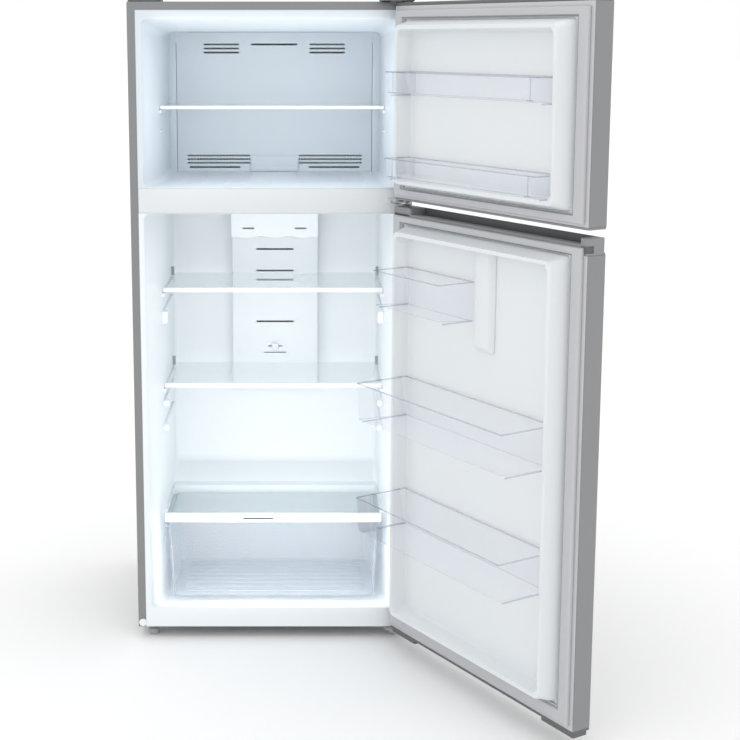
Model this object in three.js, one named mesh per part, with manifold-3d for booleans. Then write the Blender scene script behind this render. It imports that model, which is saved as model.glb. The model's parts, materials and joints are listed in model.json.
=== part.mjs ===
// A top freezer refrigerator with both doors open, as a group of named sub-parts.
// Millimetres. X runs to the right, Y to the back and Z up. While it is built, Y = 0 is the
// cabinet's front face, X = 0 its middle and Z = 0 the floor.
import * as THREE from "three";
import { mergeVertices } from "three/addons/utils/BufferGeometryUtils.js";
import Module from "manifold-3d";

const wasm = await Module();
wasm.setup();

// ---------------------------------------------------------------- driving dimensions
const GAP = 0.3; // between pieces that touch
const HALF_WIDTH = 351;
const CABINET_DEPTH = 589;
const CABINET_BOTTOM = 30;
const CABINET_TOP = 1637;
const SHEET = 1.5; // steel wrapper
const EDGE_STRIP = 20; // width of the wrapper's folded front edge

const LINER = 2; // vacuum-formed plastic
const MOUTH_HALF = 317.5; // half the width of both openings at the front face
const CAVITY_HALF = 290; // half the width inside
const LEAD_IN = 140; // depth over which the walls close in from mouth to cavity
const BACK_RADIUS = 22;
const FREEZER_FLOOR = 1183;
const FREEZER_CEILING = 1565;
const FREEZER_MOUTH_TOP = 1595;
const FREEZER_DEPTH = 506;
const FRIDGE_CEILING = 1112;
const FRIDGE_MOUTH_TOP = 1116;
const FRIDGE_FLOOR = 66;
const FRIDGE_SILL = 82.5; // front lip of the fridge floor
const FRIDGE_DEPTH = 470;
const HUMP_FRONT = 372; // step over the machine compartment
const HUMP_TOP = 300;
const HUMP_BACK_TOP = 345;
const MACHINE_FRONT = 422;
const MACHINE_TOP = 258;

const SHELF_FRONT = 152;
const SHELF_BACK = 421;
const SHELF_HALF = 287;
const GLASS = 4;
const FREEZER_SHELF_TOP = 1377;
const UPPER_SHELF_TOP = 903;
const LOWER_SHELF_TOP = 646;
const SPARE_LEDGES = [828, 586, 520]; // heights of the unused shelf ledges
const CRISPER_FRONT = 75;
const CRISPER_BACK = 366;
const CRISPER_HALF = 289;
const CRISPER_COVER_TOP = 312;
const CRISPER_COVER_RISE = 23;

const DOOR_THICKNESS = 54;
const RIM_PLANE = -12; // Y of a closed door's inner face
const DOOR_FRONT = RIM_PLANE - DOOR_THICKNESS;
const DOOR_CORNER = 8;
const DOOR_OPEN_DEG = 121.6;
const PIVOT = [332, -34.5]; // X and Y of both doors' hinge axis
const PIN_RADIUS = 5;
const BORE_RADIUS = 5.6;
const DIKE_FRONT = 33.5; // Y of the door liner's raised border, door closed
const DIKE_BASE_HALF = 300;
const DIKE_TOP_HALF = 288;
const RECESS_HALF = 278;
const RECESS_FLOOR = -8;
const BIN_HALF = 275;
const ARC_STEPS = 5;

// ---------------------------------------------------------------- materials
function material(color, roughness, metalness = 0, opacity = 1) {
  const transparent = opacity < 1;
  return new THREE.MeshStandardMaterial({ color, roughness, metalness, opacity, transparent });
}
const steelGrey = material("#8f9091", 0.42, 0.6);
const capGrey = material("#77787a", 0.55);
const darkGrey = material("#4c4e50", 0.6);
const white = material("#eef2f4", 0.4);
const coolWhite = material("#d3dbe1", 0.45);
const gasketGrey = material("#a8abb0", 0.75);
const glass = material("#d5e8e6", 0.06, 0, 0.35);
const clearPlastic = material("#dfe3f0", 0.12, 0, 0.35);
const foamYellow = material("#e6d9a8", 0.95);
const zinc = material("#b4b7b9", 0.35, 0.9);
const galvanised = material("#a7acae", 0.45, 0.85);
const black = material("#1e1f21", 0.5);
const aluminium = material("#c4c8ca", 0.35, 0.9);
const copper = material("#b0714c", 0.35, 0.9);

// ---------------------------------------------------------------- solids
function solidOf(geometry) {
  const bare = geometry.index ? geometry.toNonIndexed() : geometry.clone();
  bare.deleteAttribute("normal");
  bare.deleteAttribute("uv");
  const merged = mergeVertices(bare, 1e-4);
  const triVerts = new Uint32Array(merged.index.array);
  const vertProperties = merged.attributes.position.array;
  const made = new wasm.Manifold(new wasm.Mesh({ numProp: 3, vertProperties, triVerts }));
  if (made.volume() > 0) return made;
  return new wasm.Manifold(
    new wasm.Mesh({ numProp: 3, vertProperties, triVerts: triVerts.reverse() }),
  );
}

function geometryOf(solid) {
  const mesh = solid.getMesh();
  const geometry = new THREE.BufferGeometry();
  geometry.setAttribute("position", new THREE.BufferAttribute(mesh.vertProperties, 3));
  geometry.setIndex(new THREE.BufferAttribute(mesh.triVerts, 1));
  geometry.computeVertexNormals();
  return geometry;
}

// A box from its spans along X, Y and Z.
function block(x, y, z) {
  const geometry = new THREE.BoxGeometry(x[1] - x[0], y[1] - y[0], z[1] - z[0]);
  geometry.translate((x[0] + x[1]) / 2, (y[0] + y[1]) / 2, (z[0] + z[1]) / 2);
  return solidOf(geometry);
}

// A box as wide as the cabinet is symmetrical: X runs from -half to half.
function centred(half, y, z) {
  return block([-half, half], y, z);
}

// A block whose X and Z spans change evenly from near, at y[0], to far, at y[1].
function tapered(near, far, y) {
  const geometry = new THREE.BoxGeometry(1, 1, 1);
  const corner = geometry.attributes.position;
  for (let i = 0; i < corner.count; i++) {
    const end = corner.getY(i) < 0 ? 0 : 1;
    const span = end ? far : near;
    const x = span.x[corner.getX(i) < 0 ? 0 : 1];
    const z = span.z[corner.getZ(i) < 0 ? 0 : 1];
    corner.setXYZ(i, x, y[end], z);
  }
  return solidOf(geometry);
}

// For an outline drawn across each axis: the directions of its first and second coordinates
// and of its thickness.
const BASES = {
  x: [new THREE.Vector3(0, 1, 0), new THREE.Vector3(0, 0, 1), new THREE.Vector3(1, 0, 0)],
  y: [new THREE.Vector3(1, 0, 0), new THREE.Vector3(0, 0, 1), new THREE.Vector3(0, -1, 0)],
  z: [new THREE.Vector3(1, 0, 0), new THREE.Vector3(0, 1, 0), new THREE.Vector3(0, 0, 1)],
};

// An outline pushed out along an axis: across x it is drawn in Y and Z, across y in X and Z,
// and across z in X and Y.
function prism(shape, axis, span) {
  const depth = span[1] - span[0];
  const settings = { depth, bevelEnabled: false, curveSegments: ARC_STEPS };
  const geometry = new THREE.ExtrudeGeometry(shape, settings);
  const [first, second, along] = BASES[axis];
  geometry.applyMatrix4(new THREE.Matrix4().makeBasis(first, second, along));
  const start = along.clone().multiplyScalar(axis === "y" ? -span[1] : span[0]);
  geometry.translate(start.x, start.y, start.z);
  return solidOf(geometry);
}

function rod(axis, centre, radius, span, sides = 20) {
  const geometry = new THREE.CylinderGeometry(radius, radius, span[1] - span[0], sides);
  const middle = (span[0] + span[1]) / 2;
  if (axis === "x") geometry.rotateZ(Math.PI / 2).translate(middle, centre[0], centre[1]);
  if (axis === "y") geometry.translate(centre[0], middle, centre[1]);
  if (axis === "z") geometry.rotateX(Math.PI / 2).translate(centre[0], centre[1], middle);
  return solidOf(geometry);
}

// A turned piece: its profile is a list of [radius, height] from axis to axis.
function turned(profile, centre, sides = 24) {
  const points = profile.map(([radius, height]) => new THREE.Vector2(radius, height));
  const geometry = new THREE.LatheGeometry(points, sides);
  geometry.rotateX(Math.PI / 2).translate(centre[0], centre[1], 0);
  return solidOf(geometry);
}

function tube(points, radius, steps) {
  const path = new THREE.CatmullRomCurve3(points.map((p) => new THREE.Vector3(...p)));
  path.curveType = "catmullrom";
  path.tension = 0.25;
  const section = outline(
    [0, 1, 2, 3, 4, 5, 6, 7].map((i) => {
      const angle = (i * Math.PI) / 4;
      return [radius * Math.cos(angle), radius * Math.sin(angle)];
    }),
  );
  const settings = { steps, extrudePath: path, bevelEnabled: false };
  return solidOf(new THREE.ExtrudeGeometry(section, settings));
}

function outline(points) {
  return new THREE.Shape(points.map(([a, b]) => new THREE.Vector2(a, b)));
}

// A rectangle from (a0, b0) to (a1, b1) with a round at each corner.
function rounded(a0, b0, a1, b1, radius) {
  const shape = new THREE.Shape();
  shape.moveTo(a0 + radius, b0);
  shape.absarc(a1 - radius, b0 + radius, radius, -Math.PI / 2, 0);
  shape.absarc(a1 - radius, b1 - radius, radius, 0, Math.PI / 2);
  shape.absarc(a0 + radius, b1 - radius, radius, Math.PI / 2, Math.PI);
  shape.absarc(a0 + radius, b0 + radius, radius, Math.PI, 1.5 * Math.PI);
  return shape;
}

function joined(...solids) {
  return solids.reduce((whole, next) => whole.add(next));
}

function cut(solid, ...tools) {
  return tools.reduce((left, tool) => left.subtract(tool), solid);
}

function addPart(group, name, solid, finish) {
  const mesh = new THREE.Mesh(geometryOf(solid), finish);
  mesh.name = name;
  group.add(mesh);
}

// ---------------------------------------------------------------- cabinet
// The hollow of a compartment: a plan outline that closes in from the mouth, cut to a side
// outline. grow moves every wall outwards.
function hollow(side, depth, grow) {
  const mouth = MOUTH_HALF + grow;
  const wall = CAVITY_HALF + grow;
  const back = depth + grow;
  const plan = new THREE.Shape();
  plan.moveTo(mouth, 0);
  plan.lineTo(wall, LEAD_IN);
  plan.absarc(wall - BACK_RADIUS, back - BACK_RADIUS, BACK_RADIUS, 0, Math.PI / 2);
  plan.absarc(BACK_RADIUS - wall, back - BACK_RADIUS, BACK_RADIUS, Math.PI / 2, Math.PI);
  plan.lineTo(-wall, LEAD_IN);
  plan.lineTo(-mouth, 0);
  plan.lineTo(-mouth, -5);
  plan.lineTo(mouth, -5);
  const walls = prism(plan, "z", [0, CABINET_TOP]);
  return walls.intersect(prism(outline(side), "x", [-HALF_WIDTH, HALF_WIDTH]));
}

function freezerHollow(grow) {
  const side = [
    [-5, FREEZER_FLOOR - grow],
    [FREEZER_DEPTH + grow, FREEZER_FLOOR - grow],
    [FREEZER_DEPTH + grow, FREEZER_CEILING + grow],
    [LEAD_IN, FREEZER_CEILING + grow],
    [0, FREEZER_MOUTH_TOP + grow],
    [-5, FREEZER_MOUTH_TOP + grow],
  ];
  return hollow(side, FREEZER_DEPTH, grow);
}

function fridgeHollow(grow) {
  const side = [
    [-5, FRIDGE_SILL - grow],
    [0, FRIDGE_SILL - grow],
    [45, FRIDGE_FLOOR - grow],
    [HUMP_FRONT + grow, FRIDGE_FLOOR - grow],
    [HUMP_FRONT + grow, HUMP_TOP - grow],
    [FRIDGE_DEPTH + grow, HUMP_BACK_TOP - grow],
    [FRIDGE_DEPTH + grow, FRIDGE_CEILING + grow],
    [LEAD_IN, FRIDGE_CEILING + grow],
    [0, FRIDGE_MOUTH_TOP + grow],
    [-5, FRIDGE_MOUTH_TOP + grow],
  ];
  return hollow(side, FRIDGE_DEPTH, grow);
}

const PLUG = [-339, 41.5]; // X and Z of the spare hinge hole in the left edge strip

function cabinetShell() {
  const inner = HALF_WIDTH - SHEET;
  const opening = HALF_WIDTH - EDGE_STRIP;
  return cut(
    centred(HALF_WIDTH, [0, CABINET_DEPTH], [CABINET_BOTTOM, CABINET_TOP]),
    centred(inner, [SHEET, CABINET_DEPTH + 1], [0, CABINET_TOP - SHEET]),
    centred(opening, [-1, SHEET + 1], [0, CABINET_TOP - EDGE_STRIP]),
    rod("y", PLUG, 4, [-1, SHEET + 1]),
  );
}

const LINER_FLANGE = HALF_WIDTH - EDGE_STRIP - GAP;

function ledges(top, y) {
  const span = [top - 6, top];
  const reach = CAVITY_HALF - 7;
  const left = block([-CAVITY_HALF - 1, -reach], y, span);
  return joined(left, block([reach, CAVITY_HALF + 1], y, span));
}

function freezerLiner() {
  const top = CABINET_TOP - EDGE_STRIP - GAP;
  const body = joined(
    freezerHollow(LINER).trimByPlane([0, 1, 0], 0),
    centred(LINER_FLANGE, [0, LINER], [FREEZER_FLOOR - LINER, top]),
  );
  return joined(
    cut(body, freezerHollow(0)),
    ledges(FREEZER_SHELF_TOP - 10 - GAP, [LEAD_IN + 4, SHELF_BACK]),
  );
}

function fridgeLiner() {
  const bottom = CABINET_BOTTOM + 0.2;
  const body = joined(
    fridgeHollow(LINER).trimByPlane([0, 1, 0], 0),
    centred(LINER_FLANGE, [0, LINER], [bottom, FRIDGE_MOUTH_TOP + LINER]),
  );
  const rests = [UPPER_SHELF_TOP - 14 - GAP, LOWER_SHELF_TOP - 14 - GAP, ...SPARE_LEDGES];
  const shelfLedges = rests.map((top) => ledges(top, [LEAD_IN + 4, SHELF_BACK]));
  const coverLedge = ledges(CRISPER_COVER_TOP - 12 - GAP, [LEAD_IN + 4, CRISPER_BACK]);
  return joined(cut(body, fridgeHollow(0)), ...shelfLedges, coverLedge);
}

const LEGS = [-314, 314];
const LEG_Y = 30;

function foamInsulation() {
  const side = HALF_WIDTH - SHEET - GAP;
  const skin = SHEET + GAP + LINER;
  const pockets = LEGS.map((x) => rod("z", [x, LEG_Y], 12, [30, 62]));
  return cut(
    centred(side, [skin, CABINET_DEPTH - 2], [33, CABINET_TOP - SHEET - GAP]),
    freezerHollow(LINER + GAP),
    fridgeHollow(LINER + GAP),
    centred(HALF_WIDTH, [MACHINE_FRONT, CABINET_DEPTH], [30, MACHINE_TOP]),
    ...pockets,
  );
}

function mullionCover() {
  const z = [FRIDGE_MOUTH_TOP + LINER + GAP, FREEZER_FLOOR - LINER - GAP];
  return centred(LINER_FLANGE, [0, LINER + 1.2], z);
}

function backPanel() {
  const z = [MACHINE_TOP + 4, CABINET_TOP - SHEET - GAP];
  return centred(HALF_WIDTH - SHEET - GAP, [CABINET_DEPTH - 1.6, CABINET_DEPTH - 0.4], z);
}

const ROLLERS = [-300, 300];
const ROLLER_Y = 540;
const ROLLER_RADIUS = 14.5;
const ROLLER_HALF = 9;

// The sheet under the cabinet, with the nuts for the legs and the ears and axles of the rollers.
function basePan() {
  const floor = [30.3, 32.3];
  const sheet = centred(HALF_WIDTH - SHEET - GAP, [SHEET + 3, CABINET_DEPTH - 2.2], floor);
  const nuts = LEGS.map((x) => rod("z", [x, LEG_Y], 9, [32, 44], 6));
  const bores = LEGS.map((x) => rod("z", [x, LEG_Y], 4.4, [29, 45]));
  const earSpan = [ROLLER_Y - 10, ROLLER_Y + 10];
  const ears = ROLLERS.flatMap((x) =>
    [-1, 1].map((side) => {
      const middle = x + side * (ROLLER_HALF + 2);
      return block([middle - 1, middle + 1], earSpan, [ROLLER_RADIUS - 6, 31]);
    }),
  );
  const axles = ROLLERS.map((x) =>
    rod("x", [ROLLER_Y, ROLLER_RADIUS], 3, [x - ROLLER_HALF - 4, x + ROLLER_HALF + 4], 12),
  );
  return cut(joined(sheet, ...nuts, ...ears, ...axles), ...bores);
}

function levellingLeg(x) {
  const profile = [
    [0, 0],
    [12, 0],
    [14, 3],
    [14, 13],
    [12, 16],
    [7, 18],
    [4, 22],
    [4, 57],
    [0, 58],
  ];
  return turned(profile, [x, LEG_Y]);
}

function roller(x) {
  const half = ROLLER_HALF;
  const wheel = rod("x", [ROLLER_Y, ROLLER_RADIUS], ROLLER_RADIUS, [x - half, x + half], 28);
  return cut(wheel, rod("x", [ROLLER_Y, ROLLER_RADIUS], 3.4, [x - half - 1, x + half + 1], 16));
}

function hingeHolePlug() {
  return joined(rod("y", PLUG, 10, [-3, -GAP], 24), rod("y", PLUG, 3.6, [-1, SHEET], 16));
}

function cabinetParts(group) {
  addPart(group, "cabinet_shell", cabinetShell(), steelGrey);
  addPart(group, "foam_insulation", foamInsulation(), foamYellow);
  addPart(group, "freezer_liner", freezerLiner(), coolWhite);
  addPart(group, "fridge_liner", fridgeLiner(), white);
  addPart(group, "mullion_cover", mullionCover(), white);
  addPart(group, "back_panel", backPanel(), galvanised);
  addPart(group, "base_pan", basePan(), galvanised);
  addPart(group, "hinge_hole_plug", hingeHolePlug(), white);
  addPart(group, "levelling_leg_left", levellingLeg(LEGS[0]), capGrey);
  addPart(group, "levelling_leg_right", levellingLeg(LEGS[1]), capGrey);
  addPart(group, "rear_roller_left", roller(ROLLERS[0]), black);
  addPart(group, "rear_roller_right", roller(ROLLERS[1]), black);
}

// ---------------------------------------------------------------- hinges
// A hinge plate: wide where it is fixed to the cabinet, with a round end at the pivot.
function hingePlate(xFrom, yBack, z) {
  const reach = 13;
  const plan = new THREE.Shape();
  plan.moveTo(xFrom, yBack);
  plan.lineTo(xFrom, -5);
  plan.absarc(PIVOT[0], PIVOT[1], reach, 1.1 * Math.PI, 2 * Math.PI);
  plan.lineTo(PIVOT[0] + reach, yBack);
  return prism(plan, "z", z);
}

function pin(z) {
  return rod("z", PIVOT, PIN_RADIUS, z, 20);
}

function topHinge() {
  const plate = hingePlate(292, 92, [CABINET_TOP + GAP, CABINET_TOP + 3.3]);
  const heads = [
    [303, 22],
    [303, 74],
    [334, 48],
  ].map((at) => rod("z", at, 5.5, [CABINET_TOP + 3, CABINET_TOP + 7.5], 6));
  return joined(plate, pin([1610, CABINET_TOP + 8]), ...heads);
}

const MIDDLE_PLATE = [1146.5, 1150.5];

function middleHinge() {
  const flange = block([288, 348], [-3.3, -GAP], [1141.5, 1156]);
  const head = rod("y", [297, 1148.8], 4.5, [-7, -3], 6);
  return joined(hingePlate(310, -1, MIDDLE_PLATE), flange, pin([1118, 1176]), head);
}

const BOTTOM_PLATE = [25.5, 28.5];

function bottomHinge() {
  const riser = block([290, 345], [6, 60], [28, 30]);
  const bracket = joined(hingePlate(290, 60, BOTTOM_PLATE), riser, pin([28, 52]));
  return cut(bracket, rod("z", [LEGS[1], LEG_Y], 7, [20, 35]));
}

const COVER_RISE = 22;
const COVER_INNER = 270; // X of the hinge covers' inner ends

// A shallow cap over a hinge, open underneath.
function hingeCover(x, y) {
  const wall = 2.5;
  const low = CABINET_TOP + GAP;
  const high = CABINET_TOP + COVER_RISE;
  const outer = prism(rounded(x[0], y[0], x[1], y[1], 9), "z", [low, high]);
  const inset = rounded(x[0] + wall, y[0] + wall, x[1] - wall, y[1] - wall, 7);
  return cut(outer, prism(inset, "z", [low - 1, high - wall]));
}

function hingeParts(group) {
  addPart(group, "top_hinge", topHinge(), zinc);
  addPart(group, "middle_hinge", middleHinge(), zinc);
  addPart(group, "bottom_hinge", bottomHinge(), zinc);
  addPart(group, "top_hinge_cover", hingeCover([COVER_INNER, 349], [-51, 100]), darkGrey);
  addPart(group, "hinge_blank_cover", hingeCover([-349, -COVER_INNER], [4, 100]), darkGrey);
}

// ---------------------------------------------------------------- cooling and air
const COVER_FACE = 430; // Y of the panel at the back of the freezer
const PANEL = 2.5;

// Vent slots as [x from, x to, height]; the left ones are mirrored to the right.
const TOP_SLOTS = [
  [97, 193, 1531],
  [97, 193, 1520],
  [97, 193, 1509],
];
const RETURN_SLOTS = [
  [66, 241, 1227],
  [66, 241, 1217],
  [66, 241, 1207],
  [95, 235, 1195],
];

function slot(xFrom, xTo, z, y) {
  return block([xFrom, xTo], y, [z - 2.5, z + 2.5]);
}

function evaporatorCover() {
  const half = CAVITY_HALF - BACK_RADIUS;
  const face = new THREE.Shape();
  const [low, high] = [FREEZER_FLOOR + GAP, FREEZER_CEILING - 1];
  face.moveTo(-half, low);
  face.lineTo(half, low);
  face.absarc(half - 28, high - 28, 28, 0, Math.PI / 2);
  face.absarc(28 - half, high - 28, 28, Math.PI / 2, Math.PI);
  const through = [COVER_FACE - 1, COVER_FACE + PANEL + 1];
  const slots = [...TOP_SLOTS, ...RETURN_SLOTS].flatMap(([from, to, z]) => [
    slot(from, to, z, through),
    slot(-to, -from, z, through),
  ]);
  const raised = centred(66, [COVER_FACE - 8, COVER_FACE + 1], [FREEZER_FLOOR + GAP, 1226]);
  const panel = prism(face, "y", [COVER_FACE, COVER_FACE + PANEL]);
  return cut(joined(panel, raised), slot(-63, 63, 1531, through), ...slots);
}

const FAN_Z = 1480;
const FAN_FRONT = 446;

function evaporatorFan() {
  const hub = rod("y", [0, FAN_Z], 16, [FAN_FRONT, FAN_FRONT + 20], 20);
  const blades = [0, 1, 2, 3, 4].map((i) => {
    const blade = new THREE.BoxGeometry(40, 2, 26);
    blade.rotateX(0.5).translate(32, FAN_FRONT + 10, 0);
    blade.rotateY((i * 2 * Math.PI) / 5).translate(0, 0, FAN_Z);
    return solidOf(blade);
  });
  const bore = rod("y", [0, FAN_Z], 2.4, [FAN_FRONT + 4, FAN_FRONT + 22], 12);
  return cut(joined(hub, ...blades), bore);
}

function fanMotor() {
  const body = rod("y", [0, FAN_Z], 22, [FAN_FRONT + 24, FREEZER_DEPTH - 4], 20);
  const shaft = rod("y", [0, FAN_Z], 2, [FAN_FRONT + 6, FAN_FRONT + 26], 12);
  const z = [FAN_Z - 8, FAN_Z + 8];
  const bracket = centred(80, [FREEZER_DEPTH - 6, FREEZER_DEPTH - GAP], z);
  return joined(body, shaft, bracket);
}

function evaporatorCoil() {
  const fins = [];
  for (let x = -200; x <= 200; x += 80) {
    fins.push(block([x - 0.8, x + 0.8], [440, 500], [1245, 1400]));
  }
  const runs = [];
  for (const y of [455, 485]) {
    for (let z = 1270; z <= 1380; z += 55) {
      runs.push(rod("x", [y, z], 4, [-225, 225], 6));
    }
  }
  const ends = [-225, 225].map((x) => block([x - 3, x + 3], [449, 491], [1259, 1391]));
  return joined(...fins, ...runs, ...ends);
}

function defrostHeater() {
  const points = [
    [-215, 470, 1212],
    [200, 470, 1212],
    [216, 470, 1220],
    [200, 470, 1229],
    [-215, 470, 1229],
  ];
  return tube(points, 4, 24);
}

const DUCT_HALF = 119.5;
const DUCT_FACE = 425;
const DUCT_SPAN = [566, FRIDGE_CEILING - 2];
const DUCT_SLOTS = [966, 905, 879, 760, 580];
const SLIDER_Z = 689;

function airDuctCover() {
  const back = FRIDGE_DEPTH - GAP;
  const [low, high] = DUCT_SPAN;
  const through = [DUCT_FACE - 1, DUCT_FACE + PANEL + 1];
  const inside = [low + PANEL, high - PANEL];
  const shell = cut(
    centred(DUCT_HALF, [DUCT_FACE, back], [low, high]),
    centred(DUCT_HALF - PANEL, [DUCT_FACE + PANEL, back + 1], inside),
  );
  const slots = DUCT_SLOTS.map((z) => slot(-52, 52, z, through));
  return cut(shell, ...slots, slot(-20, 20, SLIDER_Z, through));
}

// The light's cover over the top of the duct, with two small air slots.
function lampCover() {
  const span = [1003, DUCT_SPAN[1]];
  const face = DUCT_FACE - 36;
  const shell = cut(
    centred(DUCT_HALF, [face, DUCT_FACE - GAP], span),
    centred(DUCT_HALF - PANEL, [face + PANEL, DUCT_FACE], [span[0] + PANEL, span[1] - PANEL]),
  );
  const through = [face - 1, face + PANEL + 1];
  return cut(shell, slot(-88, -56, 1029, through), slot(56, 88, 1029, through));
}

function lampBoard() {
  const plate = centred(96, [DUCT_FACE - 12, DUCT_FACE - 9], [1050, 1080]);
  const leds = [-80, -40, 0, 40, 80].map((x) =>
    block([x - 3, x + 3], [DUCT_FACE - 14, DUCT_FACE - 11], [1062, 1068]),
  );
  return joined(plate, ...leds);
}

// The knob in front of the duct, with a stem through its slot and a retaining plate behind.
function temperatureSlider() {
  const knob = centred(9, [DUCT_FACE - 9, DUCT_FACE - GAP], [SLIDER_Z - 9, SLIDER_Z + 9]);
  const stem = centred(3, [DUCT_FACE - 1, DUCT_FACE + 6], [SLIDER_Z - 2, SLIDER_Z + 2]);
  const keeper = centred(7, [DUCT_FACE + 3, DUCT_FACE + 6], [SLIDER_Z - 7, SLIDER_Z + 7]);
  return joined(knob, stem, keeper);
}

const COMPRESSOR = [-170, 505];

function compressor() {
  const profile = [
    [0, 40],
    [55, 40],
    [68, 50],
    [71, 70],
    [71, 120],
    [70, 124],
    [70, 150],
    [62, 176],
    [42, 192],
    [0, 198],
  ];
  const [x, y] = COMPRESSOR;
  const foot = block([x - 95, x + 95], [y - 40, y + 40], [38, 41]);
  const mounts = [-1, 1].flatMap((i) =>
    [-1, 1].map((j) => rod("z", [x + i * 85, y + j * 30], 8, [32.6, 39], 12)),
  );
  const stub = rod("x", [y, 130], 5, [x + 60, x + 98], 12);
  return joined(turned(profile, COMPRESSOR, 24), foot, stub, ...mounts);
}

function drainPan() {
  const [x, y] = COMPRESSOR;
  const outer = block([x - 95, x + 95], [y - 66, y + 66], [200, 228]);
  return cut(outer, block([x - 92.5, x + 92.5], [y - 63.5, y + 63.5], [202.5, 229]));
}

function condenserCoil() {
  const points = [];
  for (let row = 0; row < 6; row++) {
    const z = 60 + row * 26;
    const [start, end] = row % 2 ? [280, 0] : [0, 280];
    points.push([start, 500, z]);
    points.push([end, 500, z]);
  }
  const stays = [40, 240].map((x) => block([x - 2, x + 2], [492, 508], [32.6, 205]));
  return joined(tube(points, 3, 66), ...stays);
}

const REAR_FACE = [CABINET_DEPTH - 1.9, CABINET_DEPTH - 0.7];
const CORD_EXIT = [300, 70]; // X and Z

function machineCover() {
  const sheet = centred(HALF_WIDTH - SHEET - GAP, REAR_FACE, [33, MACHINE_TOP + 3]);
  const through = [REAR_FACE[0] - 1, REAR_FACE[1] + 1];
  const louvres = [];
  for (let x = -280; x <= 200; x += 60) {
    for (const z of [110, 150, 190]) {
      louvres.push(block([x, x + 40], through, [z - 4, z + 4]));
    }
  }
  return cut(sheet, rod("y", CORD_EXIT, 8, through), ...louvres);
}

// The strain relief where the supply cord leaves, without the cord.
function cordGland() {
  const profile = [
    [4, 0],
    [12, 0],
    [12, 3],
    [7.6, 3],
    [7.6, 12],
    [4, 12],
    [4, 0],
  ];
  const points = profile.map(([radius, height]) => new THREE.Vector2(radius, height));
  const geometry = new THREE.LatheGeometry(points, 20);
  geometry.rotateZ(Math.PI).translate(CORD_EXIT[0], REAR_FACE[1] + 3.3, CORD_EXIT[1]);
  return solidOf(geometry);
}

function coolingParts(group) {
  addPart(group, "evaporator_cover", evaporatorCover(), coolWhite);
  addPart(group, "evaporator_coil", evaporatorCoil(), aluminium);
  addPart(group, "evaporator_fan", evaporatorFan(), white);
  addPart(group, "fan_motor", fanMotor(), black);
  addPart(group, "defrost_heater", defrostHeater(), aluminium);
  addPart(group, "air_duct_cover", airDuctCover(), white);
  addPart(group, "lamp_cover", lampCover(), white);
  addPart(group, "lamp_board", lampBoard(), white);
  addPart(group, "temperature_slider", temperatureSlider(), coolWhite);
  addPart(group, "compressor", compressor(), black);
  addPart(group, "drain_pan", drainPan(), white);
  addPart(group, "condenser_coil", condenserCoil(), copper);
  addPart(group, "machine_cover", machineCover(), galvanised);
  addPart(group, "cord_gland", cordGland(), black);
}

// ---------------------------------------------------------------- shelves and crisper
// A glass pane with a front trim that grips its edge. The trim's name follows the pane's.
function addShelf(group, name, size) {
  const { half, front, back, top, rise, trimDepth } = size;
  const glassTop = top - 2;
  const pane = centred(half, [front + 4, back], [glassTop - GLASS, glassTop]);
  const trim = centred(half + 0.5, [front, front + trimDepth], [top - rise, top]);
  const groove = centred(
    half + GAP,
    [front + 4 - GAP, front + trimDepth + 1],
    [glassTop - GLASS - GAP, glassTop + GAP],
  );
  const relief = centred(half + 1, [front + 8, front + trimDepth + 1], [0, glassTop - GLASS - 2]);
  addPart(group, name + "_glass", pane, glass);
  addPart(group, name + "_trim", cut(trim, groove, relief), white);
}

// The drawer's floor is just above the sill, which it slides over.
function crisperDrawer() {
  const [low, high] = [FRIDGE_SILL + 1.5, CRISPER_COVER_TOP - CRISPER_COVER_RISE - 3];
  const body = CRISPER_HALF - 7;
  const wall = 3;
  const front = prism(
    rounded(-CRISPER_HALF, low, CRISPER_HALF, high, 14),
    "y",
    [CRISPER_FRONT, CRISPER_FRONT + 4],
  );
  const box = tapered(
    { x: [-body, body], z: [low, high - 8] },
    { x: [-body + 6, body - 6], z: [low, high - 8] },
    [CRISPER_FRONT + 3, CRISPER_BACK - 6],
  );
  const inside = tapered(
    { x: [-body + wall, body - wall], z: [low + wall, high + 1] },
    { x: [-body + wall + 6, body - wall - 6], z: [low + wall, high + 1] },
    [CRISPER_FRONT + 4, CRISPER_BACK - 6 - wall],
  );
  const ribs = [];
  for (let y = CRISPER_FRONT + 40; y < CRISPER_BACK - 30; y += 34) {
    ribs.push(centred(body - 30, [y, y + 4], [low + 1, low + wall + 3]));
  }
  return joined(cut(joined(front, box), inside), ...ribs);
}

function shelfParts(group) {
  const plain = { half: SHELF_HALF, front: SHELF_FRONT, back: SHELF_BACK, trimDepth: 16 };
  addShelf(group, "freezer_shelf", { ...plain, top: FREEZER_SHELF_TOP, rise: 10 });
  addShelf(group, "upper_shelf", { ...plain, top: UPPER_SHELF_TOP, rise: 14 });
  addShelf(group, "lower_shelf", { ...plain, top: LOWER_SHELF_TOP, rise: 14 });
  addShelf(group, "crisper_cover", {
    half: CRISPER_HALF - 4,
    front: CRISPER_FRONT,
    back: CRISPER_BACK,
    top: CRISPER_COVER_TOP,
    rise: CRISPER_COVER_RISE,
    trimDepth: 24,
  });
  addPart(group, "crisper_drawer", crisperDrawer(), clearPlastic);
}

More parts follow.
